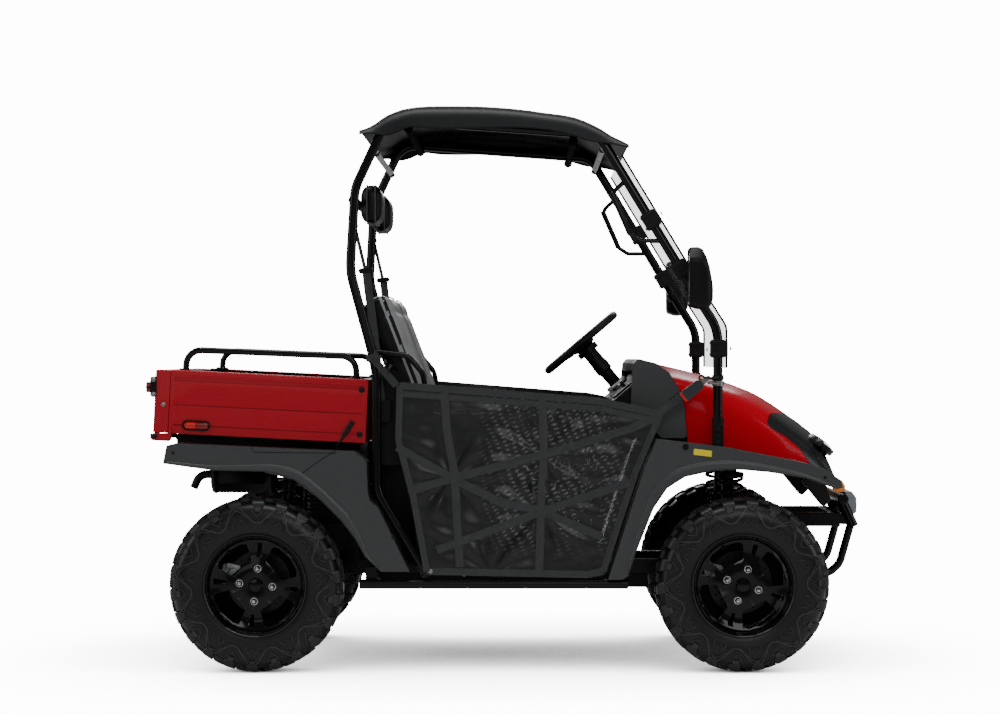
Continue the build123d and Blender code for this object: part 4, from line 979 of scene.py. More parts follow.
CALIPER = [(-104, 12), (-62, 6), (-56, 30), (-62, 58), (-100, 66), (-112, 40)]
PISTON = [(0, 0), (17, 0), (17, 14), (13, 17), (0, 17)]
PAN_FRONT = [(40, -82), (149, -82), (149, -80), (40, -80)]
PAN_REAR = [(40, -84), (147, -84), (147, -102), (170, -102), (170, -100), (149, -100), (149, -82), (40, -82)]
for wheel, axle_x, sign, _, carrier in WHEELS:
    work = bmesh.new()
    y = sign * (HALF_TRACK + DISC_MIDDLE)
    for near, far in ((-sign * 6, -sign * 30), (sign * 6, sign * 24)):
        shape = rounded([(axle_x + x, AXLE_HEIGHT + z) for x, z in CALIPER], 8, 3)
        add_prism(work, shape, (0, y, 0), *SIDE_VIEW, *sorted((near, far), reverse=True))
    bridge = rounded([(axle_x + x, z) for x, z in ((-122, 304), (-110, 302), (-110, 360), (-122, 352))], 4, 2)
    add_prism(work, bridge, (0, y, 0), *SIDE_VIEW, -30, 24)
    add_lathe(work, PISTON, (axle_x - 84, y + sign * 29, 328), (0, sign, 0), 24, closed=False)
    for bolt_z in (310, 350):
        add_bolt(work, (axle_x - 100, y + sign * 30, bolt_z), (0, sign, 0), 6, 6)
    settle("caliper_" + wheel, work, carrier, M["caliper"], "frame_black", bevel=1.0)
    work = bmesh.new()
    pan = [(radius, sign * along) for radius, along in (PAN_REAR if carrier == "chassis" else PAN_FRONT)]
    add_lathe(work, pan, (axle_x, sign * HALF_TRACK, AXLE_HEIGHT), AXLE, 64)
    settle("dust_shield_" + wheel, work, carrier, M["underbody"], "frame_black", smooth=40)
print("wheels dressed:", len(WHEELS))

# %% [markdown]
# ## Tubes
#
# The cage, rails, handles and bumper are bent tube: straight runs joined by arcs, swept by a round section.
# Each is described by its corners and its bend radii, as a tube bender's card would be. The cage leans
# inward above the seats, so side-view corners are moved to that leaning plane first.

# %% Tube cards
FOOT_Y = 573  # half width of the cage at its feet and under the roof, and where it starts to lean
HEAD_Y = 535
LEAN_FROM, LEAN_TO = 1003, 1850


def cage_y(z):
    """Distance of the cage from the middle at a height."""
    return FOOT_Y - (FOOT_Y - HEAD_Y) * min(max((z - LEAN_FROM) / (LEAN_TO - LEAN_FROM), 0), 1)


def leaning(sign, points):
    """Side-view (x, z) corners on the cage's leaning side."""
    return [(x, sign * cage_y(z), z) for x, z in points]


rail_slope = (1850 - 1800) / 710
ROOF_JOINT = (-300, 1850 - 110 * rail_slope)
REAR_POST = [
    (-271.5, 320), (-443, 600), (-444, 1003), (-461, 1077), (-533, 1340), (-517, 1620), (-410, 1850), ROOF_JOINT,
]
FRONT_POST = [ROOF_JOINT, (300, 1800), (636, 1244), (698, 1147), (698, 760)]
CAGE = (  # piece, node, corners, bend radii
    ("cage_rear_tubes", "roll_cage_rear", REAR_POST, [120, 300, 250, 250, 160, 80]),
    ("cage_front_tubes", "roll_cage_front", FRONT_POST, [80, 150, 150]),
)
for title, node, corners, bends in CAGE:
    work = bmesh.new()
    for sign in SIGNS:
        add_pipe(work, leaning(sign, corners), 16, bends, sides=28)
    settle(title, work, "chassis", M["cage"], "frame_black", node)
work = bmesh.new()
for bar_x, bar_z in ((-525, 1580), (-340, 1822), (215, 1780), (-444, 985)):
    reach = cage_y(bar_z) - 8
    add_pipe(work, [(bar_x, -reach, bar_z), (bar_x, reach, bar_z)], 12.5, sides=24)
    for sign in SIGNS:
        add_lathe(
            work, [(12.6, 0), (15.5, 0), (13.2, 4), (12.6, 4)], (bar_x, sign * (reach - 9), bar_z),
            (0, -sign, 0), 24,
        )
settle("cage_cross_tubes", work, "chassis", M["matte"], "frame_black", "roll_cage_cross_bars")
work = bmesh.new()
HIP = [(-452, 1071), (-339, 1057), (-290, 1000), (-262, 860), (-262, 640)]
GRAB = [(392, 1647), (345, 1602), (405, 1465), (440, 1442), (516, 1442)]
for sign in SIGNS:
    add_pipe(work, [(x, sign * 549.8, z) for x, z in HIP], 9.5, [40, 60, 80], sides=22)
    add_pipe(work, leaning(sign, GRAB), 7.5, [25, 30, 25], sides=18)
    add_pipe(work, leaning(sign, [(345, 1602), (405, 1465)]), 9.6, sides=18)
settle("hand_rails", work, "chassis", M["cage"], "frame_black", "hand_bars")
work = bmesh.new()
RAIL_Y = 534
RAIL_FEET = ((-1085.4, 1006.3), (-512.1, 977.2))
for sign in SIGNS:
    y = sign * RAIL_Y
    rail = [(-1085.5, y, 1007.1), (-1081.5, y, 1077.9), (-516.2, y, 1054.8), (-512.2, y, 978.0)]
    add_pipe(work, rail, 11, [50, 50], sides=24)
    for foot_x, foot_z in RAIL_FEET:
        foot = box(-23, -20, 23, 20, 5, 3)
        tilt = math.radians(2.9)
        add_prism(work, foot, (foot_x, y, foot_z), (math.cos(tilt), 0, -math.sin(tilt)), (0, 1, 0), 0.4, 4.4)
        add_lathe(work, [(11, 4), (14, 4), (11.4, 9), (11, 9)], (foot_x, y, foot_z), (0, 0, 1), 24)
settle("bed_rail_tubes", work, "bed", M["cage"], "frame_black", "bed_rails")
work = bmesh.new()
for sign in SIGNS:
    for foot_x, foot_z in RAIL_FEET:
        for offset in (-16.5, 16.5):
            add_bolt(work, (foot_x + offset, sign * RAIL_Y, foot_z + 4.4 - offset * 0.05), (0.05, 0, 1), 4.2, 4.5)
settle("bed_rail_bolts", work, "bed", M["zinc"], "frame_black")
print("tubes bent")

# %% [markdown]
# The base of each front post stands in a clevis bracket with two bolts, and a small lug for the net's buckle
# is clamped higher up. Two bright steel straps run across under the ends of the roof.

# %% Post brackets and roof straps
work = bmesh.new()
for sign in SIGNS:
    plate = box(680, 750, 716, 828, 5, 3)
    for gap in (17.5, -17.5):
        add_prism(work, plate, (0, sign * (FOOT_Y + gap), 0), *SIDE_VIEW, -2.2, 2.2)
    for radius, half, z in ((20, 12, 838), (19.5, 9, 984)):
        add_lathe(work, box(16.2, -half, radius, half), (698, sign * FOOT_Y, z), (0, 0, 1), 28)
settle("post_brackets", work, "chassis", M["frame"], "frame_black", bevel=0.8)
work = bmesh.new()
for sign in SIGNS:
    for bolt_z in (813, 791, 768):
        add_bolt(work, (698, sign * 592.8, bolt_z), (0, sign, 0), 5, 4)
    add_rod(work, (650, sign * 596, 983), (700, sign * 596, 983), 4.5, 14)
    add_lathe(work, box(5, -3, 11, 3), (642, sign * 596, 984), (0, 1, 0), 20)
settle("post_bolts", work, "chassis", M["black_bolt"], "frame_black")
work = bmesh.new()
bolts = bmesh.new()
for x, z, slope in ((-447, 1738, 0.93), (313, 1750, -1.1)):
    along = Vector((1, 0, slope)).normalized()
    reach = cage_y(z) - 14
    add_prism(work, box(-10, -3, 10, 3, 1.5, 2), (x, 0, z), along, Vector((-along.z, 0, along.x)), -reach, reach)
    for sign in SIGNS:
        add_lathe(bolts, box(0, -7, 11, 7), (x, sign * (reach - 10), z), (0, sign, 0), 20, closed=False)
settle("roof_straps", work, "chassis", M["silver"], "frame_black", bevel=0.6)
settle("roof_strap_bolts", bolts, "chassis", M["black_bolt"], "frame_black")
print("brackets set")

# %% [markdown]
# ## Bumper and guard
#
# Two slanting uprights with round caps, a cross tube between them and two lower hoops protect the nose. The
# pale guard is a moulded pad wrapped round the cross tube.

# %% Bumper
top_x, top_z, foot_z = 1151, 562, 462
lean = Vector((1198 - top_x, 0, foot_z - top_z)).normalized()
foot_x = 1215 + lean.z * 19
BUMPER_HALF = 285
CAP_PROFILE = [(0, 0), (18.6, 0), (18.6, 3), (15, 6), (0, 6.5)]
work = bmesh.new()
add_pipe(work, [(top_x, -BUMPER_HALF, top_z), (top_x, BUMPER_HALF, top_z)], 18, sides=28)
for sign in SIGNS:
    y = sign * 193
    add_pipe(work, [(top_x, y, top_z), (foot_x, y, foot_z)], 19, sides=30)
    hoop = [(1188, y, 470), (1150, y, 335), (1105, y, 292), (1040, y, 318), (1000.3, y, 318)]
    add_pipe(work, hoop, 14, [60, 50, 40], sides=24)
    add_prism(work, box(1150.3, 470, 1180, 506, 4, 2), (0, y, 0), *SIDE_VIEW, -10, 10)
    add_lathe(work, CAP_PROFILE, (top_x, sign * (BUMPER_HALF - 0.5), top_z), (0, sign, 0), 30, closed=False)
settle("bumper_tubes", work, "chassis", M["cage"], "frame_black", "front_bumper")
copy_of("bumper_guard", "chassis", M["guard"], "guard_grey", bevel=8, segments=5)
work = bmesh.new()
for sign in SIGNS:
    for y in (150, 60):
        add_bolt(work, (1211.2, sign * y, 536), (1, 0, 0), 6, 4)
settle("guard_bolts", work, "chassis", M["black_bolt"], "guard_grey")
print("bumper done")

# %% [markdown]
# ## Roof
#
# The roof is one moulded shell: crowned across, long and low in side view, with a flared lip at both ends and
# a skirt down each side. Two measured lines fix it, the height of its middle and the height of its skirt,
# and one share for each distance from the middle blends between them. Shallow ribs stiffen the top.

# %% Lines through tables
def along_table(table, x):
    """A smooth height through (x, height) rows, by cubic pieces with slopes from the neighbouring rows."""
    xs = np.array([row[0] for row in table], float)
    zs = np.array([row[1] for row in table], float)
    slopes = np.gradient(zs, xs)
    index = int(np.clip(np.searchsorted(xs, x) - 1, 0, len(xs) - 2))
    span = xs[index + 1] - xs[index]
    t = float(np.clip((x - xs[index]) / span, 0, 1))
    h00, h10 = 2 * t**3 - 3 * t**2 + 1, t**3 - 2 * t**2 + t
    h01, h11 = -2 * t**3 + 3 * t**2, t**3 - t**2
    return h00 * zs[index] + h10 * span * slopes[index] + h01 * zs[index + 1] + h11 * span * slopes[index + 1]


ROOF_GROOVES = (140, 322)
ROOF_TOP = [
    (-503, 1812), (-483, 1819), (-456, 1835), (-413, 1871), (-369, 1890), (-323, 1899), (-185, 1905),
    (-33, 1899), (105, 1882), (253, 1853), (304, 1826), (346, 1795), (375, 1780), (401, 1764),
]
ROOF_SKIRT = [
    (-503, 1796), (-464, 1798), (-412, 1792), (-382, 1799), (-335, 1819), (-268, 1815), (202, 1795),
    (279, 1771), (338, 1764), (401, 1751),
]
ROOF_ACROSS = [
    (0, 1.0), (250, 0.985), (400, 0.95), (470, 0.9), (515, 0.83), (535, 0.75), (547, 0.62), (554, 0.44),
    (559, 0.2), (564, 0.0),
]

HALF_ROW = [
    0, 40, 80, 110, 125, 140, 155, 170, 200, 240, 280, 300, 315, 330, 345, 370,
    400, 430, 460, 485, 505, 520, 532, 542, 549, 554, 558, 564,
]


def roof_height(x, y):
    """The roof's surface, with its two pairs of shallow grooves."""
    top, skirt = along_table(ROOF_TOP, x), along_table(ROOF_SKIRT, x)
    z = skirt + (top - skirt) * along_table(ROOF_ACROSS, abs(y))
    inside = max(0.0, min(1.0, (x + 360) / 200, (180 - x) / 200))
    for groove in ROOF_GROOVES:
        z -= 3.5 * inside**2 * math.exp(-(((abs(y) - groove) / 16) ** 2))
    return z


work = bmesh.new()
rows = []
for x in [-503, -499, *np.linspace(-490, 390, 74), 398, 401]:
    row = [-y for y in HALF_ROW[:0:-1]] + HALF_ROW
    rows.append([work.verts.new(mm(x, y, roof_height(x, y))) for y in row])
join_rings(work, rows, wrap=False)
roof = settle("roof_shell", work, "chassis", M["roof"], "roof_plastic", "roof", smooth=60)
thicken(roof, 6, offset=1)
refine(roof)
work = bmesh.new()
for sign in SIGNS:
    for pad_x in (-230, 150):
        rail_top = 1850 + rail_slope * (-410 - pad_x) + 17.5
        top, skirt = along_table(ROOF_TOP, pad_x), along_table(ROOF_SKIRT, pad_x)
        near, far = (pad_x - 30, sign * 531 - 12), (pad_x + 30, sign * 531 + 12)
        add_block(work, (*near, rail_top), (*far, skirt + 0.32 * (top - skirt)))
settle("roof_pads", work, "chassis", M["soft_rubber"], "roof_plastic", bevel=2)
print("roof faces:", len(roof.data.polygons))

# %% [markdown]
# ## Hood and nose
#
# The hood and the grey nose are one crowned form with a seam drawn on it in side view. So the whole form is
# built once as a closed skin through upright sections, and two cutters divide it: one behind, where the dash
# trim meets the hood, and one in front, where the nose wraps back round the headlamps.

# %% One body form
BODY = (  # x, bottom, shoulder, crown, half width at the bottom, half width at the shoulder
    (500, 778.5, 978, 1033, 515, 494),
    (600, 766.5, 960, 1010, 513, 487),
    (719, 753.5, 924, 978, 508, 476),
    (800, 737.5, 893, 951, 497, 460),
    (860, 725.4, 862, 926, 482, 441),
    (927, 712, 818, 886, 462, 416),
    (975, 702.5, 783, 853, 440, 396),
    (1027, 674, 744, 816, 424, 378),
    (1071, 648, 704, 776, 412, 364),
    (1100, 624, 664, 726, 400, 348),
    (1120, 608, 632, 670, 388, 332),
    (1133, 600, 612, 638, 380, 322),
)


def body_row(x):
    """Half-section corners at a station, from the bottom edge to the crown."""
    columns = ([(row[0], row[k]) for row in BODY] for k in range(1, 6))
    bottom, shoulder, crown, low, high = (along_table(column, x) for column in columns)
    rise, lift = shoulder - bottom, crown - shoulder
    return [
        (low, bottom),
        (low - (low - high) * 0.2, bottom + rise * 0.35),
        (low - (low - high) * 0.55, bottom + rise * 0.7),
        (high - 4, shoulder - rise * 0.06),
        (high * 0.93, shoulder + lift * 0.22),
        (high * 0.78, shoulder + lift * 0.52),
        (high * 0.5, shoulder + lift * 0.80),
        (high * 0.25, shoulder + lift * 0.95),
        (0, crown),
    ]


def smooth_row(points, steps=4):
    """Extra points on a smooth line through a row of corners."""
    line = []
    for index in range(len(points) - 1):
        p0, p1, p2, p3 = (Vector(points[min(max(index + k, 0), len(points) - 1)]) for k in (-1, 0, 1, 2))
        for step in range(steps):
            t = step / steps
            bend, twist = 2 * p0 - 5 * p1 + 4 * p2 - p3, 3 * p1 - p0 - 3 * p2 + p3
            line.append(0.5 * (2 * p1 + (p2 - p0) * t + bend * t**2 + twist * t**3))
    line.append(Vector(points[-1]))
    return line


def body_form(name, shrink=0.0):
    """The closed form of hood and nose together."""
    work = bmesh.new()
    rings = []
    for x in [*np.linspace(500, 1100, 49), 1108, 1116, 1122, 1128, 1133]:
        half = smooth_row(body_row(x))
        right = [work.verts.new(mm(x, -(p.x - shrink), p.y)) for p in half]
        left = [work.verts.new(mm(x, p.x - shrink, p.y)) for p in half[-2::-1]]
        rings.append(right + left)
    skin(work, rings)
    return mesh_of(name, work)


def side_cutter(outline):
    """A prism across the whole vehicle from a side-view outline."""
    work = bmesh.new()
    add_prism(work, outline, ORIGIN, *SIDE_VIEW, -700, 700)
    return mesh_of("cutter", work)


REAR_SEAM = [
    (380, 600), (380, 1100), (505, 1100), (505, 1028), (541.5, 1002), (576.5, 941), (593.5, 878.5), (600, 770),
    (600, 600),
]
NOSE_LINE = [
    (1021, 690), (1001, 725), (977, 752), (942.5, 780.5), (888, 811.5), (875, 828), (884, 851), (893, 858.5),
    (963, 857.5), (995, 868),
]
nose_region = [(1021, 560)] + NOSE_LINE + [(1300, 900), (1300, 560)]
hood_front = [(x - 1.6, z) for x, z in nose_region[:6]] + [(x - 1, z + 1.6) for x, z in nose_region[6:11]]
hood_front += [(1300, 905), (1300, 560)]
hood_cuts = [("DIFFERENCE", side_cutter(REAR_SEAM)), ("DIFFERENCE", side_cutter(hood_front))]
hood_mesh = carved(body_form("hood_form"), hood_cuts)
placed("hood_skin", hood_mesh, "chassis", M["hood_red"], "red_gloss", "hood", smooth=32, bevel=1.6)
print("hood faces:", len(hood_mesh.polygons))

# %% [markdown]
# The nose carries the two lamp openings and a slotted grille. The lamp openings are ellipses on a plane that
# leans back as the nose does; a brow over each lamp throws the small shadow that gives the face its look.

# %% Nose with lamp openings
lamp_axis = Vector((0.62, 0, 0.785)).normalized()
lamp_side = Vector((0, 1, 0))
lamp_up = lamp_axis.cross(lamp_side).normalized()
LAMP_WIDE, LAMP_TALL = 78, 42


def lamp_centre(sign):
    """The middle of a lamp's opening."""
    return Vector((1080, sign * 262, 742))


def lamp_rings(work, sign, rows, count=48):
    """Ellipses round the lamp's axis, one for each (scale, height along the axis)."""
    turns = [2 * math.pi * k / count for k in range(count)]
    rings = []
    for scale, level in rows:
        centre = lamp_centre(sign) + lamp_axis * level
        wide, tall = LAMP_WIDE * scale, LAMP_TALL * scale
        places = [centre + lamp_side * wide * math.cos(t) + lamp_up * tall * math.sin(t) for t in turns]
        rings.append(ring_of(work, places))
    return rings


work = bmesh.new()
for sign in SIGNS:
    skin(work, lamp_rings(work, sign, ((1.0, -36), (1.06, 60))))
for slot_z, slot_half in ((712, 120), (690, 128), (668, 134), (646, 138)):
    add_block(work, (1050, -slot_half, slot_z - 5.5), (1200, slot_half, slot_z + 5.5))
nose_cuts = [("INTERSECT", side_cutter(nose_region)), ("DIFFERENCE", mesh_of("openings", work))]
nose_mesh = carved(body_form("nose_form", 0.4), nose_cuts)
placed("nose_shell", nose_mesh, "chassis", M["nose"], "grey_plastic", "nose", smooth=32, bevel=1.6)
BROW_SECTION = ((-4, -14), (-8, 17), (-2, 21), (6, 8), (9, -14))
work = bmesh.new()
for sign in SIGNS:
    rings = []
    for step in range(17):
        angle = math.radians(12 + 156 * step / 16)
        edge = lamp_centre(sign) + lamp_side * 90 * math.cos(angle) + lamp_up * (50 * math.sin(angle) + 4)
        rings.append(ring_of(work, [edge + lamp_up * u + lamp_axis * n for u, n in BROW_SECTION]))
    skin(work, rings)
settle("lamp_brows", work, "chassis", M["nose"], "grey_plastic", smooth=50, finer=True)
print("nose faces:", len(nose_mesh.polygons))

# %% [markdown]
# Each headlamp is a bowl of bright reflector with a bulb in it, under a clear domed lens with a black rim.

# %% Headlamps
SHELLS = (  # part, (scale, height) of its rings, finish
    ("bowl", ((0.30, -27), (0.34, -26), (0.62, -16), (0.86, -2), (0.97, 8)), "reflector"),
    ("lens", ((0.06, 22), (0.45, 19.5), (0.75, 15.5), (0.93, 11), (0.985, 6)), "lens"),
)
RIM = ((1.0, -8), (1.03, 7), (1.0, 11), (0.95, 12), (0.94, 8), (0.96, -8))
BULB = [(0, -28), (9, -28), (9, -16), (6, -10), (7, -6), (6, 0), (3, 4), (0, 5)]
for sign, side in SIDES:
    for part_name, rows, material in SHELLS:
        work = bmesh.new()
        rings = lamp_rings(work, sign, rows)
        join_rings(work, rings)
        work.faces.new(rings[0])
        shell = settle(f"headlamp_{part_name}_{side}", work, "chassis", M[material], "lamp_glass", smooth=60)
        thicken(shell, 1.6)
    work = bmesh.new()
    join_rings(work, lamp_rings(work, sign, RIM), closed=True)
    settle(f"headlamp_rim_{side}", work, "chassis", M["black_plastic"], "lamp_glass", smooth=50)
    work = bmesh.new()
    add_lathe(work, BULB, lamp_centre(sign), lamp_axis, 20, closed=False)
    settle(f"headlamp_bulb_{side}", work, "chassis", M["bulb"], "lamp_glass", smooth=60)
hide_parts("headlamps")
print("headlamps: 2")

# %% [markdown]
# ## Fenders
#
# The fenders are big grey mouldings. Their main shape comes from the frame with eased edges; a raised band
# follows each wheel arch, and screws, a drain hole and a blank plate break up the plain face.

# %% Fenders and arch bands
def beside(points, distance):
    """A side-view line moved to its left by a distance."""
    moved = []
    for index, point in enumerate(points):
        before, after = Vector(points[max(index - 1, 0)]), Vector(points[min(index + 1, len(points) - 1)])
        direction = (after - before).normalized()
        moved.append((point[0] - direction.y * distance, point[1] + direction.x * distance))
    return moved


FRONT_ARCH = [
    (400, 330), (424, 405), (450, 478), (481, 548), (502, 584), (526, 615), (554, 637), (585, 653), (630, 666),
    (674, 673), (764, 678), (867, 669), (987, 649), (1080, 617),
]
REAR_ARCH = [
    (-436, 346), (-481, 389), (-515, 450), (-540, 482), (-563, 511), (-598, 546), (-631, 579), (-672, 614),
    (-716, 644), (-768, 661), (-821, 671), (-984, 675), (-1140, 696),
]
for node in ("front_fenders", "rear_fenders"):
    copy_of(node, "chassis", M["grey_plastic"], "grey_plastic", bevel=5, segments=4, smooth=40)
for title, arch, turn in (("front", FRONT_ARCH, 1), ("rear", REAR_ARCH, -1)):
    work = bmesh.new()
    fine = [tuple(point) for point in smooth_row(arch, 3)]
    count = len(fine)
    for sign in SIGNS:
        rings = []
        for k in range(count):
            width = 7 + 27 * min(1, 3.2 * k / count, 3.2 * (count - 1 - k) / count + 0.15)
            section = (
                (1.5, 600), (1.5, 612), (4, 615), (width * 0.6, 614), (width - 3, 613), (width, 609.5), (width, 600),
            )
            places = [(beside(fine, turn * reach)[k], y) for reach, y in section]
            rings.append([work.verts.new(mm(p[0], sign * y, p[1])) for p, y in places])
        skin(work, rings)
    settle(f"{title}_arch_bands", work, "chassis", M["grey_plastic"], "grey_plastic", smooth=45)
SCREWS = ((-1118, 734), (-386, 452), (1052, 652))
# Painted shade: two runs of thin black strip along the fender stand in for the shade in its recessed steps.
GROOVE_SHADE_LINES = ([(-561, 752), (-640, 702), (-722, 641)], [(-863, 762), (-852, 737), (-790, 735), (-575, 733)])
PLATE = rounded([(614, 727.5), (674, 720.5), (675.5, 740.5), (615.5, 748)], 2.5, 3)
CHEEK = rounded([(985, 646), (1078, 622), (1098, 566), (1072, 540)], 10, 4)
screws, grommets, plates, groove_shade_strips, cheeks = (bmesh.new() for _ in range(5))
for sign in SIGNS:
    for x, z in SCREWS:
        add_rod(screws, (x, sign * 609.4, z), (x, sign * 611.2, z), 5.5, 20)
    add_lathe(grommets, box(6.5, 0, 10.5, 1.8), (587.5, sign * 609.8, 753.5), (0, sign, 0), 28)
    add_lathe(grommets, box(0, 0, 6.6, 0.4), (587.5, sign * 609.9, 753.5), (0, sign, 0), 28, closed=False)
    add_prism(plates, PLATE, (0, sign * 610.6, 0), *SIDE_VIEW, -0.7, 0.7)
    for seam in GROOVE_SHADE_LINES:
        rings = []
        for low, high in zip(beside(seam, -1.3), beside(seam, 1.3)):
            section = ((low, 608.6), (low, 610.15), (high, 610.15), (high, 608.6))
            rings.append([groove_shade_strips.verts.new(mm(p[0], sign * y, p[1])) for p, y in section])
        skin(groove_shade_strips, rings)
    side_plate(cheeks, CHEEK, sign, 330, 392)
settle("fender_screws", screws, "chassis", M["black_bolt"], "grey_plastic")
settle("fender_grommets", grommets, "chassis", M["black_plastic"], "grey_plastic")
settle("blank_plates", plates, "chassis", M["plate_yellow"], "grey_plastic", bevel=0.3)
# Black strips as painted shade along the fender's recessed steps.
settle("fender_groove_shade_strips", groove_shade_strips, "chassis", M["black_plastic"], "grey_plastic")
settle("lamp_cheeks", cheeks, "chassis", M["nose"], "grey_plastic", smooth=40, bevel=4)
print("fenders dressed")

# %% [markdown]
# ## Windscreen, clamps and mirrors
#
# The windscreen is a folded clear sheet held a little ahead of the front posts. Six rubber clamps grip it,
# each a split block with a strap round the tube. A dark edging runs down both sides of the sheet.

# %% Windscreen
def shifted(points, distance):
    """A side-view polyline moved towards the front by a distance, with its corners mitred."""
    moved = []
    for index, (x, z) in enumerate(points):
        normals = []
        for first, second in ((index - 1, index), (index, index + 1)):
            if first >= 0 and second < len(points):
                run = Vector(points[second]) - Vector(points[first])
                normals.append(Vector((-run.y, run.x)).normalized())
        normal = sum(normals, Vector((0, 0))) / len(normals)
        scale = distance / normal.length_squared
        moved.append((x + normal.x * scale, z + normal.y * scale))
    return moved


SCREEN_LINE = [(351, 1715.6), (636, 1244), (698, 1147), (698, 1016)]


def screen_outline(front, back):
    """The folded sheet's section between two distances ahead of the posts."""
    outline = []
    for distance, radius, way in ((front, 60, 1), (back, 56, -1)):
        face = bent([(x, 0, z) for x, z in shifted(SCREEN_LINE, distance)], radius, 8)
        outline += [(point.x, point.z) for point in face[::way]]
    return outline


work = bmesh.new()
add_prism(work, screen_outline(32, 28), ORIGIN, *SIDE_VIEW, -560, 560)
settle("screen_sheet", work, "chassis", M["screen"], "screen_clear", "windscreen", smooth=25, bevel=0.8)
work = bmesh.new()
for sign in SIGNS:
    side_plate(work, screen_outline(33.4, 26.6), sign, 553, 561.5)
settle("screen_edging", work, "chassis", M["soft_rubber"], "screen_clear", smooth=25)
print("windscreen folds:", len(SCREEN_LINE) - 2)

# %% [markdown]
# Three black clamps on each side grip the tubes. A rubber pad between each clamp and the sheet spreads its
# hold, and two bolts close it.

# %% Clamps
post_slope = Vector((336, 0, -556)).normalized()
CLAMPS = ((474, 1512, post_slope), (574, 1346.6, post_slope), (698, 1081, Vector((0, 0, -1))))
CLAMP_BLOCK = rounded([(-25, -30), (20, -30), (27.2, -25), (27.2, 25), (20, 30), (-25, 30)], 6, 3)
CLAMP_PAD = box(-21, -26, 21, 26, 7, 3)
work = bmesh.new()
bolts = bmesh.new()
for sign in SIGNS:
    for x, z, along in CLAMPS:
        forward = Vector((-along.z, 0, along.x))
        centre = Vector((x, sign * cage_y(z), z))
        add_prism(work, CLAMP_BLOCK, centre, forward, along, -24, 24)
        for offset in (-19, 19):
            add_prism(work, box(-27, offset - 5, 15, offset + 5, 3, 3), centre, forward, along, -26, 26)
        add_prism(work, CLAMP_PAD, centre + forward * 32.6, (0, 1, 0), along, 0, 8)
        add_bolt(bolts, centre + forward * 40.4, forward, 5.5, 5)
        add_bolt(bolts, centre + Vector((0, sign * 22.5, 0)), (0, sign, 0), 4.5, 4)
settle(
    "screen_clamp_blocks", work, "chassis", M["soft_rubber"], "floor_plastic", "windscreen_clamps", smooth=40,
    bevel=1.5,
)
settle("screen_clamp_bolts", bolts, "chassis", M["black_bolt"], "floor_plastic")
print("clamps:", 2 * len(CLAMPS))

# %% [markdown]
# Each mirror is a deep black shell with a faceted back, a bright face set in a lip and turned to the driver,
# and a ball arm on a ring clamp round the front post. The shell faces backwards, so from the side it shows
# as a tall rounded shield.

# %% Mirrors
MIRROR_X, MIRROR_Y, MIRROR_Z = 592, 677, 1313.5
MIRROR_SECTIONS = (  # x, low edge, high edge, share of the full width
    (592, -88, 96, 1.0), (599, -94, 102, 1.03), (622, -101, 103, 1.02), (638, -102, 97, 0.97),
    (652, -98, 70, 0.88), (662, -92, 38, 0.76), (669, -82, 4, 0.62), (673, -68, -24, 0.45),
)
RING_CLAMP = [(16.3, -15), (22, -15), (23, -12), (23, 12), (22, 15), (16.3, 15)]
work = bmesh.new()
faces = bmesh.new()
arms = bmesh.new()
for sign in SIGNS:
    rings = []
    for x, low, high, share in MIRROR_SECTIONS:
        tall = (high - low) / 200
        corners = ((-61, 0), (50, -3), (62, 158), (30, 200), (-52, 200))
        shape = rounded([(y * share, z * tall) for y, z in corners], 24 * min(share, tall), 5)
        rings.append([work.verts.new(mm(x, sign * (MIRROR_Y + y), MIRROR_Z + low + z)) for y, z in shape])
    join_rings(work, rings)
    work.faces.new(rings[-1])
    middle = mm(MIRROR_X, sign * MIRROR_Y, MIRROR_Z)
    inner_rim = [work.verts.new(middle + (v.co - middle) * 0.93 + mm(2.2, 0, 0)) for v in rings[0]]
    deep_rim = [work.verts.new(v.co + mm(5, 0, 0)) for v in inner_rim]
    join_rings(work, [rings[0], inner_rim, deep_rim])
    faces.faces.new([faces.verts.new(v.co + mm(2.6, 0, 0)) for v in inner_rim])
    add_pipe(arms, [(624, sign * 618, 1284), (612, sign * 600, 1284), (612, sign * 566, 1284)], 7, 10, sides=16)
    add_lathe(
        arms, [(0, -12), (9, -9), (12, 0), (9, 9), (0, 12)], (622, sign * 616, 1284), (0, 1, 0), 24,
        closed=False,
    )
    lean_axis = post_slope + Vector((0, sign * 0.045, 0))
    add_lathe(arms, RING_CLAMP, (612, sign * cage_y(1284), 1283.7), lean_axis, 32)
settle("mirror_shells", work, "chassis", M["black_plastic"], "mirror_black", "mirrors", smooth=38, bevel=2)
thicken(settle("mirror_faces", faces, "chassis", M["mirror"], "mirror_black"), 2)
settle("mirror_arms", arms, "chassis", M["black_plastic"], "mirror_black", smooth=45)
print("mirrors: 2")

# %% [markdown]
# ## Dash and steering
#
# The dash is a grey moulded surround with a black panel inside it: a round dial before the driver, a row of
# rocker switches, a lidded locker on the other side and a horizontal rail to hold on to.

# %% Dash surround
TRIM = [
    (408, 882), (415, 1000), (418, 1030), (433, 1048), (496, 1032), (504.5, 1025), (539.5, 1000), (574.5, 939),
    (591.5, 877), (598.2, 779), (513, 779),
]
work = bmesh.new()
for sign in SIGNS:
    side_plate(work, rounded(TRIM, 12, 4), sign, 488, 512)
cover = [(416, 1000.4), *TRIM[2:6], (538.5, 1000.4)]
add_prism(work, rounded(cover, 12, 4), ORIGIN, *SIDE_VIEW, -490, 490)
settle(
    "dash_surround", work, "chassis", M["grey_plastic"], "grey_plastic", "dash_trim", smooth=40, bevel=3,
    segments=3,
)
tilt = math.radians(40.3)
face_low = Vector((350, 0, 905))
face_up = Vector((math.cos(tilt), 0, math.sin(tilt)))
face_out = Vector((-math.sin(tilt), 0, math.cos(tilt)))
DIAL_YS = (255, 345)
DIAL_RING = [(36, 0), (41, 0), (41, 13), (38, 16), (36, 12)]
copy_of("dash", "chassis", M["black_plastic"], "floor_plastic", bevel=4, segments=3)


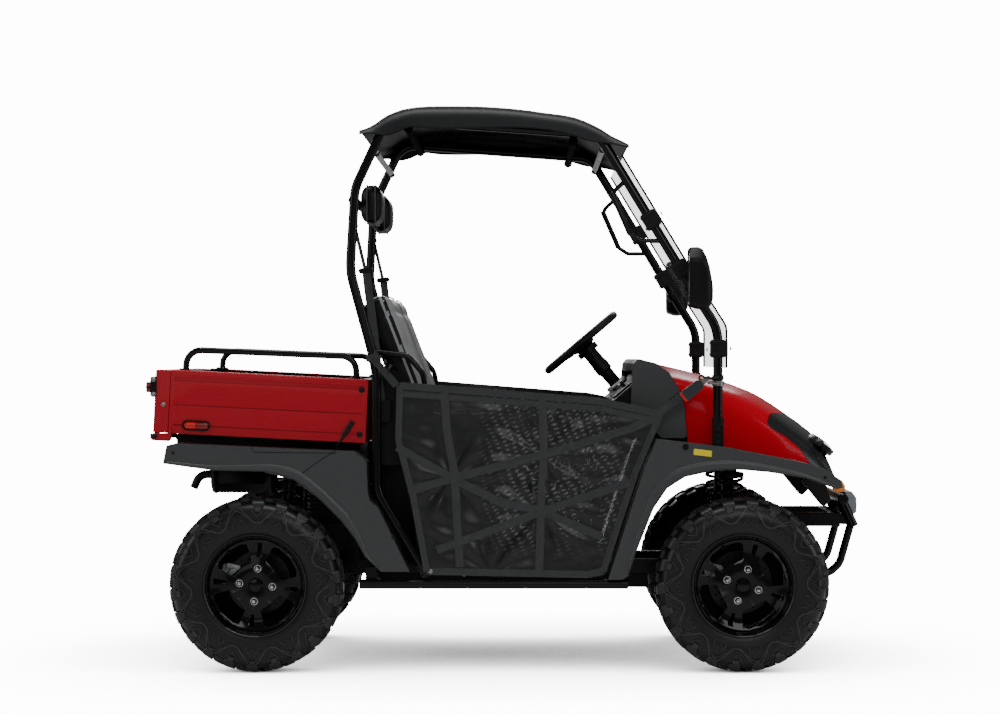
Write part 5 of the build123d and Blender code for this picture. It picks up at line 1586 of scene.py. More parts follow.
def on_dash(y, up, out=0.0):
    """A place on the sloping dash face: across, up the slope, and out of it."""
    return face_low + Vector((0, y, 0)) + face_up * up + face_out * out


def dash_pad(work, y_low, y_high, up_low, up_high, out, corner):
    """A rounded pad on the dash face."""
    add_prism(work, box(y_low, up_low, y_high, up_high, corner), face_low, (0, 1, 0), face_up, -out, 0)


def dash_mark(work, start, along, length, foot, tip):
    """A flat mark on a dial, wider at its foot than at its tip."""
    across = along.cross(face_out)
    corners = [start + across * foot, start - across * foot]
    corners += [start + along * length - across * tip, start + along * length + across * tip]
    work.faces.new(ring_of(work, corners if tip else corners[:3]))


work = bmesh.new()
dash_pad(work, -440, -120, 10, 86, 7, 12)
dash_pad(work, -90, 90, 12, 84, 5, 8)
dash_pad(work, 215, 385, 40, 94, 6, 10)
settle("dash_pads", work, "chassis", M["black_plastic"], "floor_plastic", bevel=1.5)
work = bmesh.new()
for number in range(4):
    dash_pad(work, -78 + number * 41, -45 + number * 41, 40, 74, 10, 3)
add_pipe(
    work, [on_dash(-330, 66, 7), on_dash(-330, 66, 24), on_dash(-230, 66, 24), on_dash(-230, 66, 7)], 5, 12,
    sides=14,
)
add_rod(work, on_dash(118, 46, 0), on_dash(118, 46, 14), 13, 24)
settle("dash_switches", work, "chassis", M["soft_rubber"], "floor_plastic", bevel=1.2)
rims = bmesh.new()
work = bmesh.new()
marks = bmesh.new()
for dial_y in DIAL_YS:
    centre = on_dash(dial_y, 62, 3)
    add_lathe(rims, DIAL_RING, centre, face_out, 48)
    add_lathe(work, box(0, 3, 36.5, 5), centre, face_out, 40, closed=False)
    for tick in range(11):
        angle = math.radians(-130 + 26 * tick)
        direction = Vector((0, -math.sin(angle), 0)) + face_up * math.cos(angle)
        spot = centre + direction * 30 + face_out * 5.3
        dash_mark(marks, spot, direction, -8 if tick % 5 == 0 else -5, 0.8, 0.8)
    dash_mark(marks, centre + face_out * 6, Vector((0, 0.8, 0)) - face_up * 0.6, 26, 1.6, 0)
settle("dial_rings", rims, "chassis", M["silver"], "floor_plastic", smooth=50)
settle("dial_faces", work, "chassis", M["dial"], "floor_plastic")
thicken(settle("dial_marks", marks, "chassis", M["plate_yellow"], "floor_plastic"), 0.4)
print("dash dressed")

# %% [markdown]
# The steering wheel has a soft moulded rim, three flat spokes and a padded hub. The rim is a pipe along a
# circle whose section is ribbed where hands hold it.

# %% Steering wheel
hub_centre = Vector((259, 300, 1106))
wheel_out = face_out
wheel_side = Vector((0, -1, 0))
wheel_top = wheel_out.cross(wheel_side)
SPOKE = ((30, 26, -16, 9), (60, 20, -15, 8), (100, 15, -10, 7), (135, 15, -4, 7), (152, 19, -1, 7))
HORN_PAD = [(0, -39.4), (30, -39.4), (34, -26), (44, -20), (46, -8), (40, 2), (26, 7), (0, 8.5)]
SHROUD = [  # radius, down the column
    (0, 0), (22, 0), (27, 6), (28, 60), (30, 66), (30, 96), (24, 100), (23, 160), (34, 172), (38, 186), (0, 186),
]
COLLAR = [(37.5, -13), (41, -13), (42.5, 9), (26, 9), (26, 2), (37.5, 2)]


def on_wheel(radius, angle, out=0.0):
    """A place in the steering wheel's plane."""
    turn = math.radians(angle)
    return hub_centre + (wheel_side * math.cos(turn) + wheel_top * math.sin(turn)) * radius + wheel_out * out


work = bmesh.new()
rings = []
for step in range(144):
    angle = 360 * step / 144
    middle = on_wheel(157, angle)
    outward = (middle - hub_centre).normalized()
    ring = []
    for part in range(20):
        turn = 2 * math.pi * part / 20
        swell = 13.6 + (0.5 * math.cos(8 * turn) if 25 < angle % 180 < 155 else 0)
        ring.append(middle + outward * math.cos(turn) * swell + wheel_out * math.sin(turn) * swell)
    rings.append(ring_of(work, ring))
join_rings(work, rings, closed=True)
settle("wheel_rim_grip", work, "steering_wheel", M["grip"], "wheel_grip", "steering_wheel", smooth=50)
work = bmesh.new()
for angle in (8, 172, 270):
    rings = []
    for radius, half, out, thick in SPOKE:
        across = on_wheel(1, angle + 90) - hub_centre
        middle = on_wheel(radius, angle, out)
        corners = [(-half, -thick / 2), (-half + 4, thick / 2), (half - 4, thick / 2), (half, -thick / 2)]
        rings.append(ring_of(work, [middle + across * u + wheel_out * n for u, n in corners]))
    skin(work, rings)
add_lathe(work, HORN_PAD, hub_centre, wheel_out, 40, closed=False)
settle("wheel_spokes", work, "steering_wheel", M["black_plastic"], "wheel_grip", smooth=40, bevel=1.5)
work = bmesh.new()
start = hub_centre - wheel_out * 40.5
add_lathe(work, SHROUD, start, -wheel_out, 36, closed=False)
add_lathe(work, COLLAR, start, -wheel_out, 36)
for way in SIGNS:
    stalk = [start + Vector((0, way * reach, 0)) - wheel_out * down for reach, down in ((0, 30), (60, 24), (105, 12))]
    add_pipe(work, stalk, 4.5, 20, sides=12)
settle("column_shroud", work, "chassis", M["black_plastic"], "floor_plastic", "steering_column", smooth=40, bevel=1)
print("steering wheel done")

# %% [markdown]
# ## Seats
#
# Each seat is a base cushion, a back and a headrest of foam under vinyl. Cloth simulation makes the padding:
# a slightly small closed form is remeshed, blown up by gentle pressure, and each point's travel is capped so
# the pad stays in its place. Seams and piping come after, laid on the puffed surface.

# %% Padding helpers
STEPS = 16
PRESSURE = 4.0
STIFFNESS = 30
VOXEL = 9.0


def soft_block(low, high, corner):
    """A rounded block as a starting shape for a pad."""
    work = bmesh.new()
    add_block(work, low, high)
    everything = list(work.edges) + list(work.verts)
    bmesh.ops.bevel(work, geom=everything, offset=mm(corner), segments=3, profile=0.5, affect="EDGES")
    return work


def points_of(mesh, kind="co"):
    """Every vertex's place, or its normal, as rows of numbers."""
    return np.array([getattr(vertex, kind) for vertex in mesh.vertices], float).reshape(-1, 3)


def puff(name, work, cap=9.0):
    """Remesh a closed form, blow it up as cloth, cap its travel, and give the finished mesh."""
    holder = show(name, mesh_of(name, work))
    remesh = holder.modifiers.new("remesh", "REMESH")
    remesh.mode = "VOXEL"
    remesh.voxel_size = mm(VOXEL)
    base = baked(holder)
    holder.modifiers.clear()
    holder.data = base
    rest = points_of(base)
    cloth = holder.modifiers.new("cloth", "CLOTH")
    cloth.settings.use_pressure = True
    cloth.settings.uniform_pressure_force = PRESSURE
    cloth.settings.tension_stiffness = STIFFNESS
    cloth.settings.compression_stiffness = STIFFNESS
    cloth.settings.bending_stiffness = 2.0
    cloth.settings.effector_weights.gravity = 0
    cloth.point_cache.frame_start, cloth.point_cache.frame_end = 1, STEPS
    for step in range(1, STEPS + 1):
        bpy.context.scene.frame_set(step)
    moved = points_of(baked(holder)) - rest
    length = np.linalg.norm(moved, axis=1, keepdims=True)
    limited = moved * np.minimum(1, mm(cap) / np.maximum(length, 1e-9))
    bpy.context.scene.frame_set(1)
    base.vertices.foreach_set("co", (rest + limited).ravel())
    bpy.data.objects.remove(holder)
    print(name, "pad points:", len(base.vertices))
    return base


def press_seams(mesh, lines, depth=4.5, width=8.0):
    """Push a mesh's points inward near planes through it: each line is (point, normal)."""
    co, normals = points_of(mesh), points_of(mesh, "normal")
    for point, normal in lines:
        gap = (co - np.array(mm(*point))) @ np.array(Vector(normal).normalized())
        co -= normals * (mm(depth) * np.exp(-((gap / mm(width)) ** 2)))[:, None]
    mesh.vertices.foreach_set("co", co.ravel())
    mesh.update()


def shade_by(mesh, chosen, first, second):
    """Two finishes on one mesh: faces that a test picks get the second."""
    for material in (first, second):
        mesh.materials.append(material)
    for face in mesh.polygons:
        face.material_index = 1 if chosen(face.center * 1000, face.normal) else 0


print("padding ready")

# %% [markdown]
# The backs lean, so they are puffed upright and then tilted. The face panel of each back and cushion is pale
# grey with two sewn channels, the sides are black, and a piped seam divides them.

# %% Cushions, backs and headrests
SEAT_Y = 290
HEADREST = (-471, 300, 1574)
back_tilt = math.atan2(405 - 252, 1260 - 865)


def back_place(sign):
    """From upright pad space to a seat back's place."""
    return Matrix.Translation(mm(-310, sign * SEAT_Y, 880)) @ Matrix.Rotation(-back_tilt, 4, "Y")


def headrest_place(sign, x=0, y=0, z=0):
    """A place in millimetres, measured from a headrest's middle."""
    return Vector((HEADREST[0] + x, sign * HEADREST[1] + y, HEADREST[2] + z))


def cushion_face(c, n):
    """The pale panel on top of a cushion."""
    return n.z > 0.55 and abs(c.y) < 196 and -345 < c.x < -30


def back_face(c, n):
    """The pale panel of a seat back, without its seams and channels."""
    return c.x > 16 and not (abs(c.y) > 196 and 25 < c.x < 33) and not 72 < abs(c.y) < 84


channels = [((0, y, 0), (0, 1, 0)) for y in (-78, 78)]
cushion_mesh = puff("cushion_pad", soft_block((-364, -232, 724), (-8, 232, 852), 26))
press_seams(cushion_mesh, channels + [((-300, 0, 0), (1, 0, 0))])
shade_by(cushion_mesh, cushion_face, M["seat_black"], M["seat_grey"])
back_mesh = puff("back_pad", soft_block((-44, -232, 8), (44, 232, 408), 30))
press_seams(back_mesh, channels + [((0, 0, 330), (0, 0, 1))])
shade_by(back_mesh, back_face, M["seat_black"], M["seat_grey"])
rest_mesh = puff("headrest_pad", soft_block((-36, -119, -66), (36, 119, 66), 31), cap=6)
rest_mesh.materials.append(M["seat_black"])
for sign, side in SIDES:
    for title, mesh, place, node in (
        ("cushion", cushion_mesh, Matrix.Translation(mm(0, sign * SEAT_Y, 0)), "seat_cushions"),
        ("seat_back", back_mesh, back_place(sign), "seat_backs"),
        ("headrest", rest_mesh, Matrix.Translation(headrest_place(sign) / 1000), "headrests"),
    ):
        shape = mesh.copy()
        shape.transform(place)
        node = node if sign > 0 else None
        pad = placed(f"{title}_{side}", shape, "chassis", None, "seat_vinyl", node, smooth=70, finer=True)
print("pads: 6")

# %% [markdown]
# Piping is a thin cord sewn into the seam. It follows the edge of each grey panel, and the headrests have a
# pale line round both faces.

# %% Piping
work = bmesh.new()
for sign in SIGNS:
    cushion_line = [Vector((x, y + sign * SEAT_Y, 857.5)) for x, y in box(-345, -197, -28, 197, 24, 5)]
    add_pipe(work, cushion_line, 2.6, sides=10, closed=True)
    back_line = [Vector((43, y, z)) / 1000 for z, y in box(30, -192, 388, 192, 30, 5)]
    add_pipe(work, [back_place(sign) @ point * 1000 for point in back_line], 2.6, sides=10, closed=True)
    for x in (-14, 14):
        rest_line = [headrest_place(sign, x, y, z) for y, z in box(-118, -65, 118, 65, 33, 6)]
        add_pipe(work, rest_line, 2.4, sides=10, closed=True)
settle("seat_piping", work, "chassis", M["piping"], "seat_vinyl", smooth=60)
shell = bmesh.new()
shell_outline = rounded([(-50, -4), (-42, -4), (-40, 200), (-44, 396), (-52, 396)], 3, 2)
add_prism(shell, shell_outline, ORIGIN, *SIDE_VIEW, -222, 222)
shell_mesh = mesh_of("shell", shell)
work = bmesh.new()
for sign in SIGNS:
    for y in (-70, 70):
        add_rod(work, headrest_place(sign, -49, y), headrest_place(sign, -29, y), 7, 16)
        add_lathe(work, box(12.8, -9, 17, 9), headrest_place(sign, -54, y, 6), (0, 1, 0), 28)
    mesh = shell_mesh.copy()
    mesh.transform(back_place(sign))
    work.from_mesh(mesh)
settle("seat_shells", work, "chassis", M["black_plastic"], "seat_vinyl", smooth=40, bevel=2)
copy_of("seat_base", "chassis", M["black_plastic"], "floor_plastic", bevel=8, segments=3)
work = bmesh.new()
for sign in SIGNS:
    panel = rounded([(-438, 690), (-438, 1000), (-395, 1014), (-346, 985), (-332, 900), (-332, 690)], 14, 3)
    side_plate(work, panel, sign, 525.5, 531)
settle("seat_side_panels", work, "chassis", M["black_plastic"], "floor_plastic", bevel=1)
print("seats done")

# %% [markdown]
# ## Springs and dampers
#
# A coil-over is a damper with a spring round it: a steel rod and a wider tube, two cups, and a wire wound in
# a helix between the cups, with a flat half turn at both ends.

# %% Coil-overs
SPRINGS = (((770, 300, 337), (758, 345, 688)), ((-768, 330, 306.5), (-745, 345, 699)))
COIL_TURNS, COIL_POINTS = 8.5, 240
COIL_RADIUS, WIRE_RADIUS = 38.5, 6
TUBE = [(0, 4), (16, 4), (19, 10), (20, 46), (44, 52), (45, 58), (26, 60), (26, 190), (22, 196), (0, 196)]
ROD_HEAD = ((9, -52), (34, -48), (45, -42), (44, -34), (20, -28), (16, -4), (0, -4))  # radius, from the top eye
coil = bmesh.new()
rods = bmesh.new()
for sign in SIGNS:
    for foot, head in SPRINGS:
        low, high = (Vector((x, sign * y, z)) for x, y, z in (foot, head))
        axis = (high - low).normalized()
        length = (high - low).length
        first = axis.orthogonal().normalized()
        second = axis.cross(first)
        path = []
        for step in range(COIL_POINTS + 1):
            share = step / COIL_POINTS
            climb = min(max((share - 0.06) / 0.88, 0), 1)
            angle = 2 * math.pi * COIL_TURNS * share
            offset = first * math.cos(angle) + second * math.sin(angle)
            path.append((low + axis * (62 + (length - 108) * climb) + offset * COIL_RADIUS) / 1000)
        skin(coil, tube_rings(coil, path, WIRE_RADIUS, np.linspace(0, 2 * math.pi, 11)[:-1]))
        add_lathe(rods, TUBE, low, axis, 36, closed=False)
        rod = [(0, 190), (9, 190)] + [(radius, length + down) for radius, down in ROD_HEAD]
        add_lathe(rods, rod, low, axis, 36, closed=False)
settle("spring_coils", coil, "chassis", M["spring"], "springs_black", "springs", smooth=60)
settle("spring_dampers", rods, "chassis", M["frame"], "springs_black", smooth=40)
print("coil-overs: 4")

# %% [markdown]
# ## Cargo bed
#
# The bed is folded red steel with a dark liner inside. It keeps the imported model's grooves; the liner gets
# pressed ribs along the floor. Places on the bed are written as (forward, across, up) from its rear lower
# corner, because the whole box is raked by about three degrees.

# %% Bed and tailgate
BED = Matrix.Translation(mm(-1192, 0, 801)) @ Matrix.Rotation(math.radians(2.9), 4, "Y")
tub = copy_of("bed_tub", "bed", M["bed_red"], "red_bed", bevel=2.5)
tub.data.materials.append(M["black_plastic"])
for face in tub.data.polygons:
    spot = BED.inverted() @ face.center * 1000
    inside = abs(spot.y) < 522 and 19 < spot.z and 51 < spot.x < 669
    if inside or spot.z < -1:
        face.material_index = 1
copy_of("tailgate", "tailgate", M["bed_red"], "red_bed", bevel=2.5)
work = bmesh.new()
for number in range(9):
    y = -440 + number * 110
    rib = [(y - 24, 20), (y - 17, 25), (y + 17, 25), (y + 24, 20)]
    add_prism(work, rib, ORIGIN, *REAR_VIEW, 66, 652)
work.transform(BED)
settle("bed_floor_ribs", work, "bed", M["black_plastic"], "red_bed", bevel=1.5)
RIM_FOLD = (  # across, up
    (521, 150), (521, 209.5), (525, 213), (561, 213), (565.5, 210),
    (565.5, 196), (562, 196), (562, 209), (526, 209), (526, 150),
)
work = bmesh.new()
for sign in SIGNS:
    add_prism(work, [(sign * y, z) for y, z in RIM_FOLD], ORIGIN, *REAR_VIEW, 52, 710)
work.transform(BED)
settle("bed_rim_folds", work, "bed", M["bed_red"], "red_bed", bevel=1.2)
print("bed ribs: 9")

# %% [markdown]
# Small hardware tells how the bed works: black latch brackets with star knobs hold the tailgate, red hinge
# plates carry its pins, and a lever behind the seat on each side lets the bed tip.

# %% Bed hardware
BED_SIDE = 565.4
KNOB = (546, 952)  # across, up
HINGE_PLATE = rounded(
    [(-1201, 797), (-1201, 781), (-1192, 774), (-1137, 771), (-1130, 777), (-1130, 818), (-1139, 818), (-1140, 799)],
    3,
    2,
)
brackets, knobs, gate_bolts, plates, bed_bolts, levers = (bmesh.new() for _ in range(6))
for sign in SIGNS:
    side_plate(brackets, box(-1201, 919, -1179, 988, 8), sign, 527, 568)
    lobes = []
    for step in range(48):
        turn = 2 * math.pi * step / 48
        reach = 17.5 + 2.2 * math.cos(6 * turn)
        lobes.append((sign * KNOB[0] + reach * math.cos(turn), KNOB[1] + reach * math.sin(turn)))
    add_prism(knobs, lobes, ORIGIN, *REAR_VIEW, -1216, -1203)
    nut = [(0, 0), (8, 0), (8, 5), (5, 7), (0, 7)]
    add_lathe(knobs, nut, (-1203, sign * KNOB[0], KNOB[1]), (1, 0, 0), 20, closed=False)
    for z in (929, 978):
        add_bolt(gate_bolts, (-1190, sign * 568.2, z), (0, sign, 0), 5.5, 4)
    add_bolt(gate_bolts, (-1157.5, sign * BED_SIDE, 894), (0, sign, 0), 5, 3)
    side_plate(plates, HINGE_PLATE, sign, 565.6, 569.2)
    add_bolt(bed_bolts, (-1186, sign * 569.4, 789), (0, sign, 0), 7, 5)
    for x, z in ((-493, 943), (-500, 794)):
        add_bolt(bed_bolts, (x, sign * BED_SIDE, z), (0, sign, 0), 7, 4)
    top, low = Vector((-523, sign * 576, 837)), Vector((-577, sign * 576, 751))
    along = (low - top).normalized()
    add_pipe(levers, [top + along * reach for reach in (0, 4, 12, 52, 56)], 8.5, 1, sides=20)
    add_pipe(levers, [top + along * 50, top + along * 82, low + Vector((0, -sign * 14, 0))], 4, 8, sides=14)
settle("gate_brackets", brackets, "tailgate", M["black_plastic"], "red_bed", bevel=1.2)
settle("gate_knobs", knobs, "tailgate", M["black_plastic"], "red_bed", smooth=50, bevel=0.8)
settle("gate_bolts", gate_bolts, "tailgate", M["zinc"], "red_bed")
settle("hinge_plates", plates, "bed", M["bed_red"], "red_bed", bevel=0.8)
settle("bed_bolts", bed_bolts, "bed", M["black_bolt"], "red_bed")
settle("bed_levers", levers, "bed", M["grip"], "red_bed", smooth=50)
print("bed hardware done")

# %% [markdown]
# The side markers are long ovals: a black bezel holds two lens halves, bright behind and dark before.

# %% Side markers
MARKER = (144, 30)  # the lamp's middle in the bed's measures
DIVIDE = ((min, 143.6), (max, 144.4))  # where the bright and the dark half of the lens end


def oval(reach, high, steps=10):
    """A long oval round the lamp's middle."""
    u, w = MARKER
    turns = [math.pi * step / steps - math.pi / 2 for step in range(steps + 1)]
    right = [(u + reach - high + high * math.cos(t), w + high * math.sin(t)) for t in turns]
    left = [(u - reach + high - high * math.cos(t), w - high * math.sin(t)) for t in turns]
    return right + left


bezels, bright, dark = (bmesh.new() for _ in range(3))
for sign in SIGNS:
    outside, inside = oval(47, 17), oval(42, 12)
    side_plate(bezels, outside, sign, 565.3, 569)
    rings = []
    for shape, y in ((outside, 568.5), (outside, 573), (inside, 574.2), (inside, 568.5)):
        rings.append([bezels.verts.new(mm(u, sign * y, w)) for u, w in shape])
    join_rings(bezels, rings, closed=True)
    for target, (limit, edge) in zip((bright, dark), DIVIDE):
        rings = []
        for share, y in ((1.0, 568.5), (1.0, 571.5), (0.93, 573.2), (0.6, 574.3)):
            shape = [[m + (value - m) * share for m, value in zip(MARKER, place)] for place in oval(41.5, 11.5)]
            rings.append([target.verts.new(mm(limit(u, edge), sign * y, w)) for u, w in shape])
        join_rings(target, rings)
        target.faces.new(rings[-1])
for target in (bezels, bright, dark):
    bmesh.ops.remove_doubles(target, verts=target.verts, dist=mm(0.01))
    target.transform(BED)
settle("marker_bezels", bezels, "bed", M["black_plastic"], "marker_red", "side_lamps", smooth=45)
settle("marker_bright", bright, "bed", M["red_lens"], "marker_red", smooth=50)
settle("marker_dark", dark, "bed", M["dark_red_lens"], "marker_red", smooth=50)
print("side markers: 2")

# %% [markdown]
# Signal lamps sit inside the front fender's tip, and tail lamps beside the rear fenders.

# %% Signal and tail lamps
SIGNAL = [
    (1099, 600), (1101, 636), (1112, 640), (1129, 635), (1141.5, 616), (1141.5, 600), (1132, 594.5), (1106, 595),
]
work = bmesh.new()
for sign in SIGNS:
    side_plate(work, rounded(SIGNAL, 5), sign, 404.5, 429)
settle(
    "signal_lenses", work, "chassis", M["amber"], "signal_plastic", "signal_lamps", smooth=40, bevel=2.5,
    segments=3,
)
work = bmesh.new()
for sign in SIGNS:
    shape = box(382, 702, 428, 750, 8)
    add_prism(work, [(sign * y, z) for y, z in shape], ORIGIN, *REAR_VIEW, -1149, -1124)
settle("tail_lenses", work, "chassis", M["red_lens"], "signal_plastic", smooth=40, bevel=2.5, segments=3)
print("signal and tail lamps: 4")

# %% [markdown]
# ## Side nets
#
# A black mesh closes each side from the seat to the dash. Its cut has four curved edges, so points inside
# are blended from the edges. The cloth billows a few millimetres between the straps and is flat where a strap
# or a hem holds it.

# %% Net surface
EDGE_LOW = [(-283, 330), (270, 318), (323, 330)]
EDGE_HIGH = [(-374, 965), (300, 915), (515, 868)]
EDGE_REAR = [(-283, 330), (-330, 577), (-380, 777), (-374, 965)]
EDGE_FRONT = [(323, 330), (385, 520), (437, 677), (515, 868)]
STRAPS = (  # side-view runs of webbing sewn on the net
    [(-217, 943), (-207, 803), (-181, 659), (-174, 509), (-164, 352)],
    [(111, 919), (116, 726), (106, 542), (100, 326)],
    [(-334, 606), (-197, 646), (110, 726), (403, 813), (493, 853)],
    [(-241, 409), (-74, 469), (103, 536), (403, 636)],
    [(-374, 753), (-197, 653), (-30, 569), (103, 542), (310, 452)],
)


def along_edge(edge, share):
    """The place at a share of an edge's length."""
    runs = [math.hypot(b[0] - a[0], b[1] - a[1]) for a, b in zip(edge, edge[1:])]
    left = share * sum(runs)
    for (a, b), run in zip(zip(edge, edge[1:]), runs):
        if left <= run or (a, b) == (edge[-2], edge[-1]):
            part = min(left / run, 1)
            return Vector((a[0] + (b[0] - a[0]) * part, a[1] + (b[1] - a[1]) * part))
        left -= run


def net_place(s, t):
    """Blend the four edges: s runs forward, t runs up."""
    low, high = along_edge(EDGE_LOW, s), along_edge(EDGE_HIGH, s)
    rear, front = along_edge(EDGE_REAR, t), along_edge(EDGE_FRONT, t)
    corners = Vector(EDGE_LOW[0]) * (1 - s) * (1 - t) + Vector(EDGE_LOW[-1]) * s * (1 - t)
    corners += Vector(EDGE_HIGH[0]) * (1 - s) * t + Vector(EDGE_HIGH[-1]) * s * t
    return low * (1 - t) + high * t + rear * (1 - s) + front * s - corners


def strap_gap(x, z):
    """How far a place is from the nearest strap's middle line."""
    nearest = 999.0
    for strap in STRAPS:
        for (ax, az), (bx, bz) in zip(strap, strap[1:]):
            run = (bx - ax) ** 2 + (bz - az) ** 2
            part = min(max(((x - ax) * (bx - ax) + (z - az) * (bz - az)) / run, 0), 1)
            nearest = min(nearest, math.hypot(x - ax - (bx - ax) * part, z - az - (bz - az) * part))
    return nearest


def billow(x, z):
    """How far the cloth stands out, in millimetres: soft folds that fan out from the strap crossings."""
    value = 7.5 * wander_at(Vector((x / 95, 0, z / 70)))
    for cross_x, cross_z, turn in ((-197, 653, 0.3), (103, 540, 1.1), (110, 726, 2.0), (-60, 330, 0.6)):
        reach = math.hypot(x - cross_x, z - cross_z)
        angle = math.atan2(z - cross_z, x - cross_x)
        value += 5.0 * math.sin(9 * angle + turn) * math.exp(-((reach - 90) / 85) ** 2)
    wave = math.sin((x * 0.55 + z) / 13 + 3 * wander_at(Vector((x / 150, 3, z / 150))))
    return value + 3.2 * wave * max(0, wander_at(Vector((x / 170, 7, z / 140))) + 0.2)


def net_offset(x, z, s, t):
    """The cloth's distance from the middle plane: held at edges and straps, loose between."""
    hold = min(1.0, 14 * min(s, 1 - s), 10 * min(t, 1 - t)) * min(1.0, 0.25 + strap_gap(x, z) / 45)
    return 591.5 + billow(x, z) * hold


WIDE, TALL = 150, 104  # cells of the cloth
net_points = []
net_faces = []
for row in range(TALL + 1):
    for column in range(WIDE + 1):
        s, t = column / WIDE, row / TALL
        place = net_place(s, t)
        net_points.append((place.x, net_offset(place.x, place.y, s, t), place.y))
        first = row * (WIDE + 1) + column
        if row < TALL and column < WIDE:
            net_faces.append((first, first + 1, first + WIDE + 2, first + WIDE + 1))
print("net points:", len(net_points))

# %% [markdown]
# Webbing is a flat band two millimetres thick that follows the cloth. Hems run round the edges, and every
# strap shows its sewn edges as two fine ridges.

# %% Nets and webbing
net_finder = KDTree(len(net_points))
for index, (x, y, z) in enumerate(net_points):
    net_finder.insert((x, 0, z), index)
net_finder.balance()


def add_webbing(work, path, width=27.0, lift=1.4, normal=(0, 1, 0), thick=1.6):
    """A flat band along (x, y, z) points, its face towards a normal."""
    points = [Vector(point) for point in path]
    normal = Vector(normal).normalized()
    half = width / 2
    ridge = [(-half, 0), (-half, thick), (-half + 2.5, thick + 0.7), (-half + 5, thick)]
    section = ridge + [(half - 5, thick), (half - 2.5, thick + 0.7), (half, thick), (half, 0)]
    rings = []
    for index, point in enumerate(points):
        ahead = (points[min(index + 1, len(points) - 1)] - points[max(index - 1, 0)]).normalized()
        across = normal.cross(ahead).normalized()
        face = ahead.cross(across).normalized()
        rings.append(ring_of(work, [point + across * u + face * (v + lift) for u, v in section]))
    skin(work, rings)


def on_cloth(sign, path, step=14.0):
    """Places on a side's cloth along a side-view run, close enough together to follow its folds."""
    points = []
    for (ax, az), (bx, bz) in zip(path, path[1:]):
        count = max(1, int(math.hypot(bx - ax, bz - az) / step))
        points += [(ax + (bx - ax) * i / count, az + (bz - az) * i / count) for i in range(count)]
    points.append(path[-1])
    return [(x, sign * net_points[net_finder.find((x, 0, z))[1]][1], z) for x, z in points]


def inward(edge, distance):
    """An edge moved towards the net's middle, for a hem that lies on the cloth."""
    middle = Vector((30, 640))
    return [tuple(Vector(p) + (middle - Vector(p)).normalized() * distance) for p in edge]


HEMS = ((EDGE_HIGH, 24), (EDGE_LOW, 24), (EDGE_REAR, 22), (EDGE_FRONT, 22))
SECOND_HEM = [(x, z - 34) for x, z in EDGE_HIGH[:2]] + [(468, 846)]
for sign, side in SIDES:
    mesh = bpy.data.meshes.new(f"net_{side}")
    faces = net_faces if sign < 0 else [face[::-1] for face in net_faces]
    mesh.from_pydata([mm(x, sign * y, z) for x, y, z in net_points], [], faces)
    mesh.materials.append(M["net"])
    mesh.shade_smooth()
    net = show(f"net_{side}", mesh)
    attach(net, "chassis")
    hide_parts(f"side_net_{side}")
    work = bmesh.new()
    for strap in STRAPS:
        add_webbing(work, on_cloth(sign, strap), normal=(0, sign, 0))
    for edge, width in HEMS:
        add_webbing(work, on_cloth(sign, inward(edge, 12)), width=width, normal=(0, sign, 0), lift=1.2)
    add_webbing(work, on_cloth(sign, SECOND_HEM), width=20, normal=(0, sign, 0))
    webbing = settle(f"net_webbing_{side}", work, "chassis", M["strap"], "net_fabric", smooth=40)

# %% [markdown]
# Each net hangs by a strap with a slider at the rear pillar and by a belt buckle at the front post. The
# buckle's tongue is bolted to a ring clamp on the post, so the front corner comes free at the press of a
# red button.

# %% Net fasteners
LOCK = (Vector((0.78, 0, 0.62)), Vector((-0.62, 0, 0.78)))  # along the buckle and across it
BUCKLE = rounded([(0, -20), (66, -17), (76, -9), (76, 9), (66, 17), (0, 20)], 6, 3)
TONGUE = rounded([(70, -10), (104, -7), (112, 0), (104, 7), (70, 10)], 4, 2)
REAR_STRAP = ((-376, 592, 958), (-400, 592, 985), (-436, 590, 1028), (-458, 586, 1052))
FRONT_STRAP = ((490, 593, 856), (520, 595, 884), (545, 597, 905))
STRAP_LOOP = [(18.5, -11), (23, -10), (23, 10), (18.5, 11), (16.4, 11), (16.4, -11)]


def on_side(sign, *places):
    """Left-side places mirrored to a side; one place stays one place."""
    made = [Vector((x, sign * y, z)) for x, y, z in places]
    return made if len(made) > 1 else made[0]


